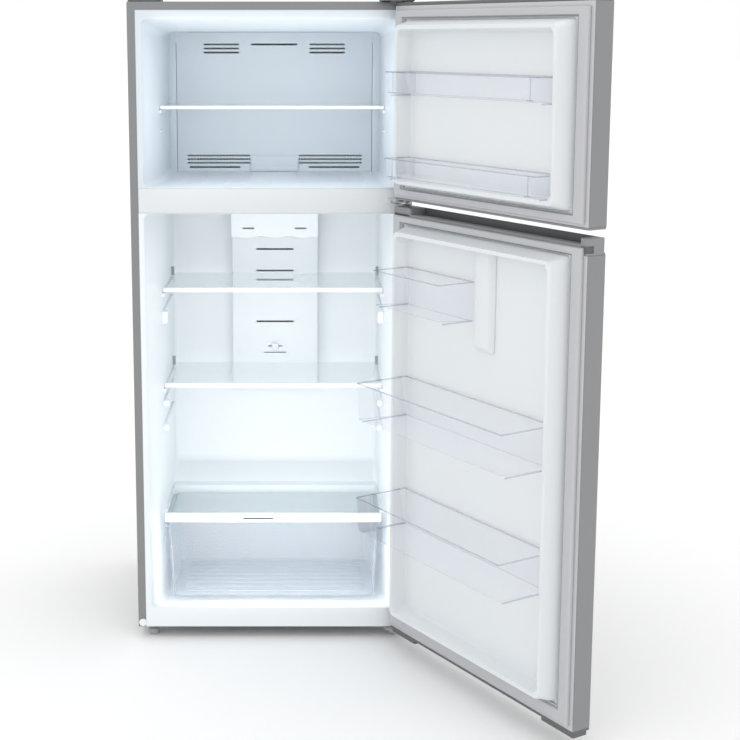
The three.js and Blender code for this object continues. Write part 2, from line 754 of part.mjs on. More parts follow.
// ---------------------------------------------------------------- doors
// Both doors are built closed. base and top are the heights of the whole door, skin those of
// its steel, dike those of the liner's raised border where it leaves the rim.
const FREEZER_DOOR = {
  base: 1157.4,
  top: 1634,
  skin: [1163, 1626],
  dike: [1192, 1592],
  gasket: [1169.5, 1615],
};
const FRIDGE_DOOR = {
  base: 42,
  top: 1140,
  skin: [49, 1103.7],
  dike: [97, 1099],
  gasket: [60.5, 1120],
};
const RIDGE = { x: [-63, 11], z: [840, 1120] }; // stiffening ridge in the fridge door's liner
const DIKE_DRAFT = DIKE_BASE_HALF - DIKE_TOP_HALF;
const DIKE_WIDTH = DIKE_TOP_HALF - RECESS_HALF;

function doorPlan(inset) {
  const half = HALF_WIDTH - inset;
  const radius = DOOR_CORNER - inset;
  return rounded(-half, DOOR_FRONT + inset, half, RIM_PLANE - inset, Math.max(radius, 1));
}

// Sheet steel wrapped round the front and both edges, with a narrow fold on the inner face.
function doorSkin(door) {
  const steel = 1;
  const body = prism(doorPlan(0), "z", door.skin);
  const inside = prism(doorPlan(steel), "z", [0, CABINET_TOP]);
  const window = centred(329, [RIM_PLANE - 3, RIM_PLANE + 1], [0, CABINET_TOP]);
  return cut(body, inside, window);
}

// The pit inside the liner's border, grown by the wall's thickness for the back of the liner.
function recess(door, grow) {
  const half = RECESS_HALF + grow;
  const floor = RECESS_FLOOR - grow;
  const border = DIKE_DRAFT + DIKE_WIDTH;
  const z = [door.dike[0] + border - grow, door.dike[1] - border + grow];
  const pit = centred(half, [floor, DIKE_FRONT + 5], z);
  if (door !== FRIDGE_DOOR) return pit;
  const ridgeX = [RIDGE.x[0] + grow, RIDGE.x[1] - grow];
  return cut(pit, block(ridgeX, [-40, RECESS_FLOOR + 26 - grow], [RIDGE.z[0] + grow, RIDGE.z[1]]));
}

// The raised border, thinned by a wall's thickness for the foam inside it.
function dike(door, thin) {
  const base = DIKE_BASE_HALF - thin;
  const [low, high] = [door.dike[0] + thin, door.dike[1] - thin];
  const near = { x: [-base, base], z: [low, high] };
  const far = {
    x: [DIKE_DRAFT - base, base - DIKE_DRAFT],
    z: [low + DIKE_DRAFT, high - DIKE_DRAFT],
  };
  return tapered(near, far, [RIM_PLANE - 4, DIKE_FRONT - thin]);
}

function doorLiner(door) {
  const z = [door.gasket[0] + 2, Math.min(door.gasket[1] - 2, door.skin[1] - 1)];
  const flange = centred(328.5, [RIM_PLANE - LINER, RIM_PLANE], z);
  const body = joined(flange, dike(door, 0).trimByPlane([0, 1, 0], RIM_PLANE - LINER));
  const core = cut(dike(door, LINER), recess(door, LINER));
  return cut(body, recess(door, 0), core);
}

function doorFoam(door) {
  const [low, high] = [door.skin[0] + GAP, door.skin[1] - GAP];
  const slab = prism(doorPlan(1 + GAP), "z", [low, high]);
  const front = centred(HALF_WIDTH, [RIM_PLANE - LINER - GAP, 0], [0, CABINET_TOP]);
  const core = cut(dike(door, LINER + GAP), recess(door, LINER + GAP));
  const bore = rod("z", PIVOT, BORE_RADIUS + 1, [door.base - 1, door.base + 26]);
  const topBore = rod("z", PIVOT, BORE_RADIUS + 1, [door.top - 30, door.top + 1]);
  return cut(joined(cut(slab, front), core), bore, topBore);
}

function gasket(door) {
  const [low, high] = door.gasket;
  const y = [RIM_PLANE + GAP, RIM_PLANE + 11];
  const innerZ = [door.dike[0] - 2.5, door.dike[1] + 2];
  return cut(centred(339, y, [low, high]), centred(304, [-20, 5], innerZ));
}

// A plain cap across the end of a door.
function doorCap(z) {
  const slab = prism(doorPlan(0.6), "z", z);
  return cut(slab, rod("z", PIVOT, BORE_RADIUS, [z[0] - 1, z[1] + 1]));
}

const GRIP = { x: [-325, 280], y: [-56, -34] };

// The fridge door's top cap: a trough for the fingers behind a low lip, and the hinge bore.
function gripCap() {
  const [low, high] = [FRIDGE_DOOR.skin[1] + GAP, FRIDGE_DOOR.top];
  const back = RIM_PLANE - 0.4;
  const front = DOOR_FRONT + 5;
  const slab = prism(rounded(-350, front, 350, back, 6), "z", [low, high]);
  const trough = block(GRIP.x, GRIP.y, [low + 5, high + 1]);
  const lipCut = block(GRIP.x, [DOOR_FRONT, GRIP.y[1]], [high - 14, high + 1]);
  return cut(slab, trough, lipCut, rod("z", PIVOT, BORE_RADIUS, [1112, high + 1]));
}

function footedCap() {
  const cap = prism(doorPlan(0.6), "z", [FRIDGE_DOOR.base, FRIDGE_DOOR.skin[0] - GAP]);
  const y = [DOOR_FRONT + 6, RIM_PLANE - 6];
  const hingeFoot = block([247, 348], y, [30, FRIDGE_DOOR.base + 1]);
  const handleFoot = block([-347, -237], y, [30, FRIDGE_DOOR.base + 1]);
  const bore = rod("z", PIVOT, BORE_RADIUS, [29, 60]);
  return cut(joined(cap, hingeFoot, handleFoot), bore);
}

// An open bin: a back wall against the liner and a box that widens slightly to its front.
function bin(x, yFront, z) {
  const wall = 2.5;
  const back = RECESS_FLOOR + 5;
  const outer = tapered(
    { x: [x[0] + 1, x[1] - 1], z },
    { x, z: [z[0] + 10, z[1]] },
    [back, yFront],
  );
  const inner = tapered(
    { x: [x[0] + 1 + wall, x[1] - 1 - wall], z: [z[0] + wall, z[1] + 10] },
    { x: [x[0] + wall, x[1] - wall], z: [z[0] + 10 + wall, z[1] + 10] },
    [back + wall, yFront - wall],
  );
  return cut(outer, inner);
}

const FREEZER_BIN_FRONT = 70;
const FRIDGE_BIN_FRONT = 145;
const SMALL_BIN_FRONT = 99;

// A group turned about the hinge axis, holding pieces that are placed as if it were closed.
function openDoor() {
  const pivot = new THREE.Group();
  pivot.position.set(PIVOT[0], PIVOT[1], 0);
  pivot.rotation.z = THREE.MathUtils.degToRad(DOOR_OPEN_DEG);
  const pieces = new THREE.Group();
  pieces.position.set(-PIVOT[0], -PIVOT[1], 0);
  pivot.add(pieces);
  return [pivot, pieces];
}

function freezerDoorParts(group) {
  const door = FREEZER_DOOR;
  const whole = [-BIN_HALF, BIN_HALF];
  addPart(group, "freezer_door_skin", doorSkin(door), steelGrey);
  addPart(group, "freezer_door_foam", doorFoam(door), foamYellow);
  addPart(group, "freezer_door_liner", doorLiner(door), white);
  addPart(group, "freezer_door_gasket", gasket(door), gasketGrey);
  addPart(group, "freezer_door_top_cap", doorCap([door.skin[1] + GAP, door.top]), darkGrey);
  addPart(group, "freezer_door_base_cap", doorCap([door.base, door.skin[0] - GAP]), capGrey);
  const upper = bin(whole, FREEZER_BIN_FRONT, [1414, 1472]);
  const lower = bin(whole, FREEZER_BIN_FRONT, [1215, 1268]);
  addPart(group, "freezer_bin_upper", upper, clearPlastic);
  addPart(group, "freezer_bin_lower", lower, clearPlastic);
}

function fridgeDoorParts(group) {
  const door = FRIDGE_DOOR;
  const whole = [-BIN_HALF, BIN_HALF];
  addPart(group, "fridge_door_skin", doorSkin(door), steelGrey);
  addPart(group, "fridge_door_foam", doorFoam(door), foamYellow);
  addPart(group, "fridge_door_liner", doorLiner(door), white);
  addPart(group, "fridge_door_gasket", gasket(door), gasketGrey);
  addPart(group, "fridge_door_grip_cap", gripCap(), capGrey);
  addPart(group, "fridge_door_base_cap", footedCap(), darkGrey);
  const small = bin([RIDGE.x[1] + 2, BIN_HALF], SMALL_BIN_FRONT, [906, 1000]);
  addPart(group, "fridge_bin_small", small, clearPlastic);
  addPart(group, "fridge_bin_middle", bin(whole, FRIDGE_BIN_FRONT, [627, 727]), clearPlastic);
  addPart(group, "fridge_bin_lower", bin(whole, FRIDGE_BIN_FRONT, [347, 440]), clearPlastic);
}

// ---------------------------------------------------------------- assembly
const refrigerator = new THREE.Group();
refrigerator.name = "top_freezer_refrigerator";
const body = new THREE.Group();
cabinetParts(body);
hingeParts(body);
coolingParts(body);
shelfParts(body);
const [freezerPivot, freezerPieces] = openDoor();
freezerDoorParts(freezerPieces);
const [fridgePivot, fridgePieces] = openDoor();
fridgeDoorParts(fridgePieces);
body.add(freezerPivot, fridgePivot);
refrigerator.add(body);

// The origin is on the floor, under the middle of the whole object's box.
refrigerator.updateMatrixWorld(true);
const middle = new THREE.Box3().setFromObject(refrigerator, true).getCenter(new THREE.Vector3());
body.position.set(-middle.x, -middle.y, 0);

export default refrigerator;
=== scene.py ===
"""A top freezer refrigerator with both doors open, laid out as a Blender add-on.

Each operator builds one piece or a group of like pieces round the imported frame. Shapes are drawn in
millimetres from the cabinet: X = 0 is its middle, Y = 0 its front face and Z = 0 the floor. A door's
pieces are drawn as if it were shut, and are turned open about the hinge when they are finished.
"""

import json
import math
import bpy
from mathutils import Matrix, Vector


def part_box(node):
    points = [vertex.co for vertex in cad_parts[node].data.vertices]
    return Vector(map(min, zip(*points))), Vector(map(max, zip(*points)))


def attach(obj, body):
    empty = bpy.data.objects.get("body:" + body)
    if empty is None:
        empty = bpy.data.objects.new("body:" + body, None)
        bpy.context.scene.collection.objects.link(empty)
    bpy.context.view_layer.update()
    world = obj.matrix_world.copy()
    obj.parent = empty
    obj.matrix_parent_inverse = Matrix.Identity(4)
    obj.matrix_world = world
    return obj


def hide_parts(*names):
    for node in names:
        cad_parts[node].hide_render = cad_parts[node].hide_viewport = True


bl_info = {
    "name": "Top freezer refrigerator",
    "version": (1, 0, 0),
    "blender": (4, 5, 0),
    "location": "View3D > Sidebar > Refrigerator",
    "description": "Builds a top freezer refrigerator with both doors open, piece by piece",
    "category": "Add Mesh",
}

import bmesh
import bpy
from bpy.props import FloatProperty, FloatVectorProperty, PointerProperty
from mathutils import Matrix, Vector

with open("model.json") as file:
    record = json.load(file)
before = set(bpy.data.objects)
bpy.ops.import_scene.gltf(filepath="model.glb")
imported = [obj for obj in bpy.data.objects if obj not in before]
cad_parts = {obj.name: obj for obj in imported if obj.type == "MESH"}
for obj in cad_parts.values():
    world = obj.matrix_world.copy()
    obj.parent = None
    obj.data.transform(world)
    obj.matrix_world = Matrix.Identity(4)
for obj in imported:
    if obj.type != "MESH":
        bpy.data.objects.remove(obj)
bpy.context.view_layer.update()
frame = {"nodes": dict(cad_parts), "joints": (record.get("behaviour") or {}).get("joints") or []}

# ---------------------------------------------------------------- places from the frame
MM = 0.001
SHELL_LOW, SHELL_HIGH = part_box("cabinet_shell")
FACE_MIDDLE = Vector(((SHELL_LOW.x + SHELL_HIGH.x) / 2, SHELL_LOW.y, 0))
CABINET = Matrix.Translation(FACE_MIDDLE) @ Matrix.Diagonal((MM, MM, MM, 1))
HINGE = next(joint for joint in frame["joints"] if joint["name"] == "fridge_door_hinge")
OPEN_ANGLE = -math.radians(HINGE["range_deg"][0])


def spans(node):
    """The X, Y and Z spans of a cabinet node, in millimetres from the cabinet's face and middle."""
    low, high = (CABINET.inverted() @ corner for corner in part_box(node))
    return tuple(zip(low, high))


PIVOT = CABINET.inverted() @ Vector((*HINGE["pos_m"][:2], 0))
SWING = Matrix.Translation(PIVOT) @ Matrix.Rotation(OPEN_ANGLE, 4, "Z") @ Matrix.Translation(-PIVOT)
OPENED = CABINET @ SWING

(_, HALF_WIDTH), (_, DEPTH), (BOTTOM, TOP) = spans("cabinet_shell")
EDGE_STRIP = 20
FLANGE_HALF = spans("mullion_cover")[0][1]
MOUTH_HALF = 317.5
CAVITY_HALF = 290
LEAD_IN = 140

RIM_PLANE = -12
DOOR_FRONT = -66
DOOR_SKIN = 1
BIN_HALF = 275
BIN_BACK = -3
BIN_WALL = 2.5


def door_heights(door):
    """The height spans of a door's skin and of its seal, read from their nodes."""
    return spans(door + "_skin")[2], spans(door + "_gasket")[2]


# ---------------------------------------------------------------- sizes and colours
def linear(value):
    """One sRGB channel from 0 to 1, turned to linear."""
    return value / 12.92 if value <= 0.04045 else ((value + 0.055) / 1.055) ** 2.4


def srgb(hex_colour):
    """A #RRGGBB colour as linear red, green and blue."""
    return tuple(linear(int(hex_colour[i : i + 2], 16) / 255) for i in (1, 3, 5))


def length(name, description, millimetres):
    """A length a user can change, kept in metres."""
    return FloatProperty(name=name, description=description, default=millimetres * MM, min=0, unit="LENGTH")


def colour(name, description, hex_colour):
    """A colour a user can change."""
    return FloatVectorProperty(
        name=name, description=description, default=srgb(hex_colour), subtype="COLOR", min=0, max=1
    )


class FridgeSizes(bpy.types.PropertyGroup):
    """Sizes of the shapes that the frame leaves open."""

    cavity_corner: length("Cavity corner", "Radius of the compartments' long corners", 16)
    cavity_back: length("Cavity back", "Radius where a compartment's walls meet its back", 20)
    door_corner: length("Door corner", "Radius of the door skin's front edges", 8)
    dike_corner: length("Liner corner", "Radius of the door liner's four corners", 14)
    ledge_height: length("Ledge height", "Height of a moulded shelf ledge", 9)
    bin_corner: length("Bin corner", "Radius of a door bin's upright corners", 7)
    drawer_corner: length("Drawer corner", "Radius of the crisper front's corners", 14)
    comb_pitch: length("Comb pitch", "Distance between the ribs across the return air grille", 8)


class FridgeColours(bpy.types.PropertyGroup):
    """Colours of the finishes."""

    steel: colour("Steel", "Silver paint of the cabinet and doors", "#8B8C8E")
    # The rim colour is the steel coat painted paler: a painted highlight.
    rim: colour("Rim", "Lighter silver of the door's folded inner edge", "#C6C6C9")
    liner: colour("Liner", "Vacuum-formed liner and its panels", "#F1F6F9")
    # The door liner colour is the liner's sheet painted greyer: painted shade.
    door_liner: colour("Door liner", "Liners of the doors and the bar between the openings", "#E3E7E9")
    # The freezer colour is the liner's sheet painted darker as painted shade, and cooler in tone.
    freezer: colour("Freezer", "Liner and panel of the freezer", "#DDE5EB")
    gasket: colour("Seal", "Magnetic door seal", "#C0C1C4")
    cap: colour("Grey cap", "Plastic caps at the doors' ends", "#8E8F91")
    dark_cap: colour("Dark cap", "Dark caps and hinge covers", "#686A6C")
    glass: colour("Glass", "Tint of the shelf glass", "#DDECEE")
    clear: colour("Clear plastic", "Tint of the bins and drawer", "#DDE2F2")
    # The clear edge colour is the clear plastic painted darker and more violet: painted shade.
    clear_edge_painted_shade: colour("Clear edge", "Tint of the bins' and drawer's rims and ribs", "#A6A9BC")
    drawer: colour("Drawer", "Tint of the drawer's tray", "#E2EDF5")
    zinc: colour("Zinc", "Hinge plates", "#C3C6C8")
    floor: colour("Floor", "Studio floor", "#FAFAFA")


def size(name):
    """One of the scene's refrigerator sizes, in millimetres."""
    return getattr(bpy.context.scene.fridge_sizes, name) / MM


# ---------------------------------------------------------------- shapes
SHARP = math.radians(32)
NEAR = 0.05


def block(bm, x, y, z, radius=0, segments=2):
    """A block from its spans, with every edge rounded. Returns its vertices."""
    middle = Vector([(low + high) / 2 for low, high in (x, y, z)])
    sizes = [high - low for low, high in (x, y, z)]
    place = Matrix.Translation(middle) @ Matrix.Diagonal((*sizes, 1))
    verts = bmesh.ops.create_cube(bm, size=1, matrix=place)["verts"]
    if not radius:
        return verts
    edges = list({edge for vert in verts for edge in vert.link_edges})
    return bevel(bm, edges, radius, segments)["verts"]


def finished_in(verts, index):
    """Gives the faces round some vertices the piece's finish of that number."""
    for vert in verts:
        for face in vert.link_faces:
            face.material_index = index


def bevel(bm, edges, radius, segments=3):
    """Rounds the given edges."""
    return bmesh.ops.bevel(
        bm,
        geom=edges,
        offset=radius,
        segments=segments,
        profile=0.5,
        affect="EDGES",
        material=-1,
        clamp_overlap=True,
    )


def corner_block(bm, x, y, z, axis, corner, radius, segments=6):
    """A block whose edges along one axis are rounded widely and the others a little."""
    verts = block(bm, x, y, z)
    edges = list({edge for vert in verts for edge in vert.link_edges})
    along = [e for e in edges if abs((e.verts[0].co - e.verts[1].co).normalized()[axis]) > 0.9]
    known = set(bm.edges) - set(edges)
    bevel(bm, along, corner, segments)
    sharp = [e for e in bm.edges if e not in known and turn_of(e) > SHARP]
    bevel(bm, sharp, radius, 2)


def turn_of(edge):
    """The angle that the surface turns by at an edge, or none at an open edge."""
    return edge.calc_face_angle(0) if edge.is_manifold else 0


def edges_at(bm, axis, value, sharp_only=True):
    """Edges that lie in the plane where that coordinate has that value."""
    found = [e for e in bm.edges if all(abs(v.co[axis] - value) < 0.01 for v in e.verts)]
    return [e for e in found if turn_of(e) > SHARP] if sharp_only else found


def stepped(bm, steps, axis=1, closed=False):
    """A shell of rectangles, each drawn out from the last one along an axis.

    A step is (first span, second span, height along the axis). A closed shell joins its last step to
    its first, and an open one has its last step filled. Returns the corner edges.
    """
    across = [i for i in range(3) if i != axis]

    def corner(step, i, j):
        point = [0.0, 0.0, 0.0]
        point[across[0]], point[across[1]], point[axis] = step[0][i], step[1][j], step[2]
        return point

    verts = [bm.verts.new(corner(steps[0], i, j)) for i, j in ((0, 0), (1, 0), (1, 1), (0, 1))]
    ring = [bm.edges.new((verts[k], verts[(k + 1) % 4])) for k in range(4)]
    first, corners = ring, []
    for last, step in zip(steps, steps[1:]):
        made = bmesh.ops.extrude_edge_only(bm, edges=ring)["geom"]
        moved = [item for item in made if isinstance(item, bmesh.types.BMVert)]
        ring = [item for item in made if isinstance(item, bmesh.types.BMEdge)]
        stretch, shift = [1.0, 1.0, 1.0], [0.0, 0.0, 0.0]
        shift[axis] = step[2] - last[2]
        for part, i in enumerate(across):
            stretch[i] = (step[part][1] - step[part][0]) / (last[part][1] - last[part][0])
            shift[i] = step[part][0] - last[part][0] * stretch[i]
        change = Matrix.Translation(shift) @ Matrix.Diagonal((*stretch, 1))
        bmesh.ops.transform(bm, matrix=change, verts=moved)
        corners += [e for v in moved for e in v.link_edges if e not in ring]
    if closed:
        bmesh.ops.bridge_loops(bm, edges=first + ring)
    else:
        bmesh.ops.contextual_create(bm, geom=ring)
    return corners


def walled(bm, thickness):
    """Gives an open shell its wall. The shell stays where it is and a negative wall goes outside."""
    bmesh.ops.remove_doubles(bm, verts=bm.verts, dist=0.01)
    bmesh.ops.recalc_face_normals(bm, faces=bm.faces)
    bmesh.ops.solidify(bm, geom=bm.faces[:], thickness=thickness)


def divided(bm, values, along, facing):
    """Divides the faces at one depth, at each of the values along X (0) or Z (2)."""
    normal = [0.0, 0.0, 0.0]
    normal[along] = 1.0
    for value in values:
        flat = [f for f in bm.faces if all(abs(v.co.y - facing) < NEAR for v in f.verts)]
        rims = {e for f in flat for e in f.edges}
        corners = {v for f in flat for v in f.verts}
        point = [0.0, 0.0, 0.0]
        point[along] = value
        around = [*flat, *rims, *corners]
        bmesh.ops.bisect_plane(bm, geom=around, plane_co=point, plane_no=normal, dist=1e-4)


def windows(bm, openings, facing):
    """Cuts rectangular windows, each (X span, Z span), through the faces at one depth."""
    for part, along in enumerate((0, 2)):
        divided(bm, sorted({edge for opening in openings for edge in opening[part]}), along, facing)

    def inside(face):
        middle = face.calc_center_median()
        if abs(middle.y - facing) > NEAR:
            return False
        return any(x[0] < middle.x < x[1] and z[0] < middle.z < z[1] for x, z in openings)

    bmesh.ops.delete(bm, geom=[face for face in bm.faces if inside(face)], context="FACES")


def grown(span, by):
    """A span made longer at both ends."""
    return (span[0] - by, span[1] + by)


def both_sides(low, high):
    """A span and its mirror image across the middle."""
    return ((low, high), (-high, -low))


def piece(bm, name, body, slot, finishes, *nodes, place=CABINET):
    """Turns a bmesh into a finished piece that rides on its body and stands for its CAD nodes."""
    for face in bm.faces:
        face.smooth = True
    for edge in bm.edges:
        edge.smooth = turn_of(edge) < SHARP
    bmesh.ops.transform(bm, matrix=place, verts=bm.verts)
    mesh = bpy.data.meshes.new(name)
    bm.to_mesh(mesh)
    bm.free()
    for material in finishes:
        mesh.materials.append(material)
    made = bpy.data.objects.new(name, mesh)
    bpy.context.scene.collection.objects.link(made)
    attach(made, body)
    if nodes:
        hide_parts(*nodes)


def soft_copy(node, body, slot, material, radius):
    """A piece that is the CAD node, merged to clean faces, with its sharp edges rounded."""
    bm = bmesh.new()
    bm.from_mesh(frame["nodes"][node].data)
    bmesh.ops.remove_doubles(bm, verts=bm.verts, dist=1e-6)
    bmesh.ops.dissolve_limit(bm, angle_limit=math.radians(1), verts=bm.verts, edges=bm.edges)
    bevel(bm, [edge for edge in bm.edges if turn_of(edge) > SHARP], radius * MM, 2)
    piece(bm, "soft_" + node, body, slot, [material], node, place=Matrix())


# ---------------------------------------------------------------- finishes
def add_node(tree, kind, settings=(), inputs=()):
    """Adds a shader node with its settings and links. An input is a value or another node's socket."""
    node = tree.nodes.new(kind)
    for key, value in dict(settings).items():
        setattr(node, key, value)
    for key, value in dict(inputs).items():
        if isinstance(value, bpy.types.NodeSocket):
            tree.links.new(value, node.inputs[key])
        else:
            node.inputs[key].default_value = value
    return node


def finish(name, rgb, roughness, grain_mm, bump_mm, shade=0.04, constants=(), stretch=(1, 1, 1)):
    """A material with slow shade drift, uneven gloss and a surface grain whose size is in millimetres.

    The stretch pulls the grain out along an axis, for a surface that was drawn, rolled or stamped.
    """
    if name in bpy.data.materials:
        return bpy.data.materials[name]
    material = bpy.data.materials.new(name)
    material.use_nodes = True
    tree = material.node_tree
    tree.nodes.clear()
    place = add_node(tree, "ShaderNodeTexCoord").outputs["Object"]
    spread = add_node(tree, "ShaderNodeMapping", inputs={"Vector": place, "Scale": stretch})
    drift = add_node(tree, "ShaderNodeTexNoise", inputs={"Vector": place, "Scale": 5.0, "Detail": 3.0})
    grain = add_node(
        tree,
        "ShaderNodeTexNoise",
        inputs={"Vector": spread.outputs["Vector"], "Scale": 1 / (grain_mm * MM), "Detail": 2.0},
    )
    darker = tuple(channel * (1 - shade) for channel in rgb)
    tone = add_node(
        tree,
        "ShaderNodeMix",
        {"data_type": "RGBA"},
        {"Factor": drift.outputs["Fac"], 6: (*darker, 1), 7: (*rgb, 1)},
    )
    gloss = add_node(
        tree,
        "ShaderNodeMapRange",
        inputs={"Value": grain.outputs["Fac"], "To Min": roughness[0], "To Max": roughness[1]},
    )
    relief = add_node(
        tree,
        "ShaderNodeBump",
        inputs={"Height": grain.outputs["Fac"], "Distance": bump_mm * MM, "Strength": 1.0},
    )
    shader = add_node(
        tree,
        "ShaderNodeBsdfPrincipled",
        inputs={
            "Base Color": tone.outputs[2],
            "Roughness": gloss.outputs["Result"],
            "Normal": relief.outputs["Normal"],
            **dict(constants),
        },
    )
    add_node(tree, "ShaderNodeOutputMaterial", inputs={"Surface": shader.outputs["BSDF"]})
    return material


def tint(name):
    """One of the scene's refrigerator colours."""
    return tuple(getattr(bpy.context.scene.fridge_colours, name))


def painted_steel():
    """Prepainted sheet steel, roll-formed: a metallic silver coat with a faint orange peel."""
    constants = {"Metallic": 0.35, "Coat Weight": 0.25, "Coat Roughness": 0.2}
    return finish("painted_steel_silver", tint("steel"), (0.36, 0.46), 2.5, 0.012, 0.05, constants)


def rim_painted_highlight():
    """The same coat on the folded inner edge, painted paler than the steel as a painted highlight where the
    edge catches the light.
    """
    constants = {"Metallic": 0.15, "Coat Weight": 0.2}
    return finish("painted_steel_pale", tint("rim"), (0.4, 0.5), 2.5, 0.01, 0.03, constants)


SHEET = {"IOR": 1.55}


def formed_liner():
    """High-impact polystyrene, vacuum-formed: glossy white, with the slow waviness of a drawn sheet."""
    return finish("polystyrene_formed_white", tint("liner"), (0.27, 0.31), 70, 0.02, 0.015, SHEET)


def door_liner_painted_shade():
    """The same sheet on the doors and the bar between the openings, painted greyer than inside as painted
    shade.
    """
    return finish("polystyrene_formed_pale", tint("door_liner"), (0.3, 0.34), 70, 0.02, 0.015, SHEET)


def freezer_liner_painted_shade():
    """The same sheet in the freezer, cooler in tone and painted darker than the fridge's as painted shade."""
    return finish("polystyrene_formed_cool", tint("freezer"), (0.3, 0.34), 70, 0.02, 0.015, SHEET)


def moulded_panel():
    """Polypropylene, injection moulded with an etched grain, so it is flatter in gloss than the liner.

    The real grain is about 0.2 mm. It is drawn at 0.9 mm, because it wouldn't show.
    """
    return finish("polypropylene_moulded_white", tint("liner"), (0.36, 0.48), 0.9, 0.01, 0.02)


def freezer_panel_painted_shade():
    """The same panel in the freezer, painted darker as painted shade."""
    return finish("polypropylene_moulded_cool", tint("freezer"), (0.36, 0.48), 0.9, 0.01, 0.03)


def lamp_lens():
    """Opal polycarbonate, moulded: lit from behind, it glows evenly."""
    lit = (*srgb("#F2FAFF"), 1)
    constants = {"Emission Color": lit, "Emission Strength": 0.08}
    return finish("polycarbonate_opal", srgb("#F5FAFC"), (0.3, 0.4), 1.2, 0.006, 0.01, constants)


def trim_plastic():
    """Shelf trim, extruded white plastic with a satin skin."""
    return finish("polystyrene_extruded_trim", srgb("#F4FAFB"), (0.22, 0.32), 1.5, 0.006, 0.01)


def see_through(material, face_on, edge_on):
    """Opens a finish up: it hides little when seen face on and more along a wall or a rounded edge."""
    tree = material.node_tree
    shader = next(node for node in tree.nodes if node.type == "BSDF_PRINCIPLED")
    if shader.inputs["Alpha"].is_linked:
        return material
    grazing = add_node(tree, "ShaderNodeLayerWeight", inputs={"Blend": 0.35})
    cover = add_node(
        tree,
        "ShaderNodeMapRange",
        inputs={"Value": grazing.outputs["Facing"], "To Min": face_on, "To Max": edge_on},
    )
    tree.links.new(cover.outputs["Result"], shader.inputs["Alpha"])
    return material


def shelf_glass():
    """Tempered float glass: clear face on, with the green edge of iron in the melt."""
    made = finish("float_glass_tempered", tint("glass"), (0.02, 0.05), 60, 0.002, 0.01, {"IOR": 1.52})
    return see_through(made, 0.06, 0.3)


def clear_plastic():
    """Crystal polystyrene, injection moulded: clear face on, with a faint violet cast along its edges."""
    made = finish("polystyrene_crystal", tint("clear"), (0.05, 0.1), 25, 0.004, 0.03, {"IOR": 1.59})
    return see_through(made, 0.04, 0.2)


def frosted_plastic():
    """The drawer's tray: the same plastic, hazier, so that it holds light and shows its ribs."""
    made = finish("polystyrene_hazy", tint("drawer"), (0.2, 0.26), 25, 0.004, 0.03, {"IOR": 1.59})
    return see_through(made, 0.3, 0.6)


def clear_edge_painted_shade():
    """The same plastic where it is looked at edge on, along a rim or a rib, painted denser and more violet as
    painted shade.
    """
    made = finish("polystyrene_crystal_edge", tint("clear_edge_painted_shade"), (0.08, 0.14), 25, 0.004, 0.03, {"IOR": 1.5})
    return see_through(made, 0.22, 0.45)


def seal_vinyl():
    """Plasticised PVC, extruded: soft grey and nearly matt."""
    return finish("pvc_extruded_grey", tint("gasket"), (0.55, 0.68), 1.2, 0.01, 0.04)


def grey_cap():
    """ABS, injection moulded with a spark-eroded texture that takes the shine off its grey.

    The real texture is about 0.15 mm. It is drawn at 0.8 mm, because it wouldn't show.
    """
    return finish("abs_textured_grey", tint("cap"), (0.45, 0.58), 0.8, 0.012, 0.04)


def dark_cap():
    """ABS, the darker moulding of the hinge covers and caps, with the same texture."""
    return finish("abs_textured_dark", tint("dark_cap"), (0.45, 0.58), 0.8, 0.012, 0.04)


def zinc_plate():
    """Steel, stamped and zinc plated: bright with a directional scratch, drawn coarser than it is."""
    bare = {"Metallic": 1.0}
    return finish("steel_zinc_plated", tint("zinc"), (0.24, 0.4), 1.6, 0.008, 0.08, bare, (1, 8, 8))


def galvanised():
    """Hot-dip galvanised sheet: dull silver with spangles about 12 mm across."""
    return finish("steel_galvanised", srgb("#B4B9BB"), (0.32, 0.52), 12, 0.01, 0.16, {"Metallic": 0.9})


def foam():
    """Polyurethane, poured and set: pale yellow, its open cells drawn at 3 mm so that they show."""
    return finish("polyurethane_foam", srgb("#E6D9A8"), (0.85, 0.95), 3, 0.3, 0.12)


def black_plastic():
    """Polyamide, injection moulded: black, with the low sheen of a mould that wasn't polished."""
    return finish("polyamide_black", srgb("#222325"), (0.42, 0.55), 1.0, 0.01, 0.1)


def black_enamel():
    """Drawn steel can, dipped in black enamel: deep gloss over slight waves."""
    constants = {"Coat Weight": 0.5, "Coat Roughness": 0.15}
    return finish("steel_black_enamel", srgb("#18191A"), (0.25, 0.35), 9, 0.04, 0.1, constants)


def grey_foot():
    """Polyamide with glass fibre, moulded: pale grey and slightly cloudy."""
    return finish("polyamide_grey", srgb("#A6A8AA"), (0.4, 0.52), 1.0, 0.01, 0.06)


def aluminium():
    """Aluminium, rolled fins and drawn tube, bare: bright, with its grain along the rolling."""
    bare = {"Metallic": 1.0}
    return finish("aluminium_bare", srgb("#C9CDCF"), (0.28, 0.42), 2, 0.01, 0.06, bare, (1, 1, 9))


def condenser_paint():
    """Steel tube, bent and dipped in dark paint that sagged a little as it dried."""
    return finish("steel_tube_dipped", srgb("#3A3B3D"), (0.4, 0.55), 3, 0.02, 0.1)


def board_green():
    """Glass-epoxy circuit board under white solder mask, with a faint weave below it."""
    return finish("glass_epoxy_board", srgb("#DDE5DF"), (0.3, 0.4), 4, 0.01, 0.04)


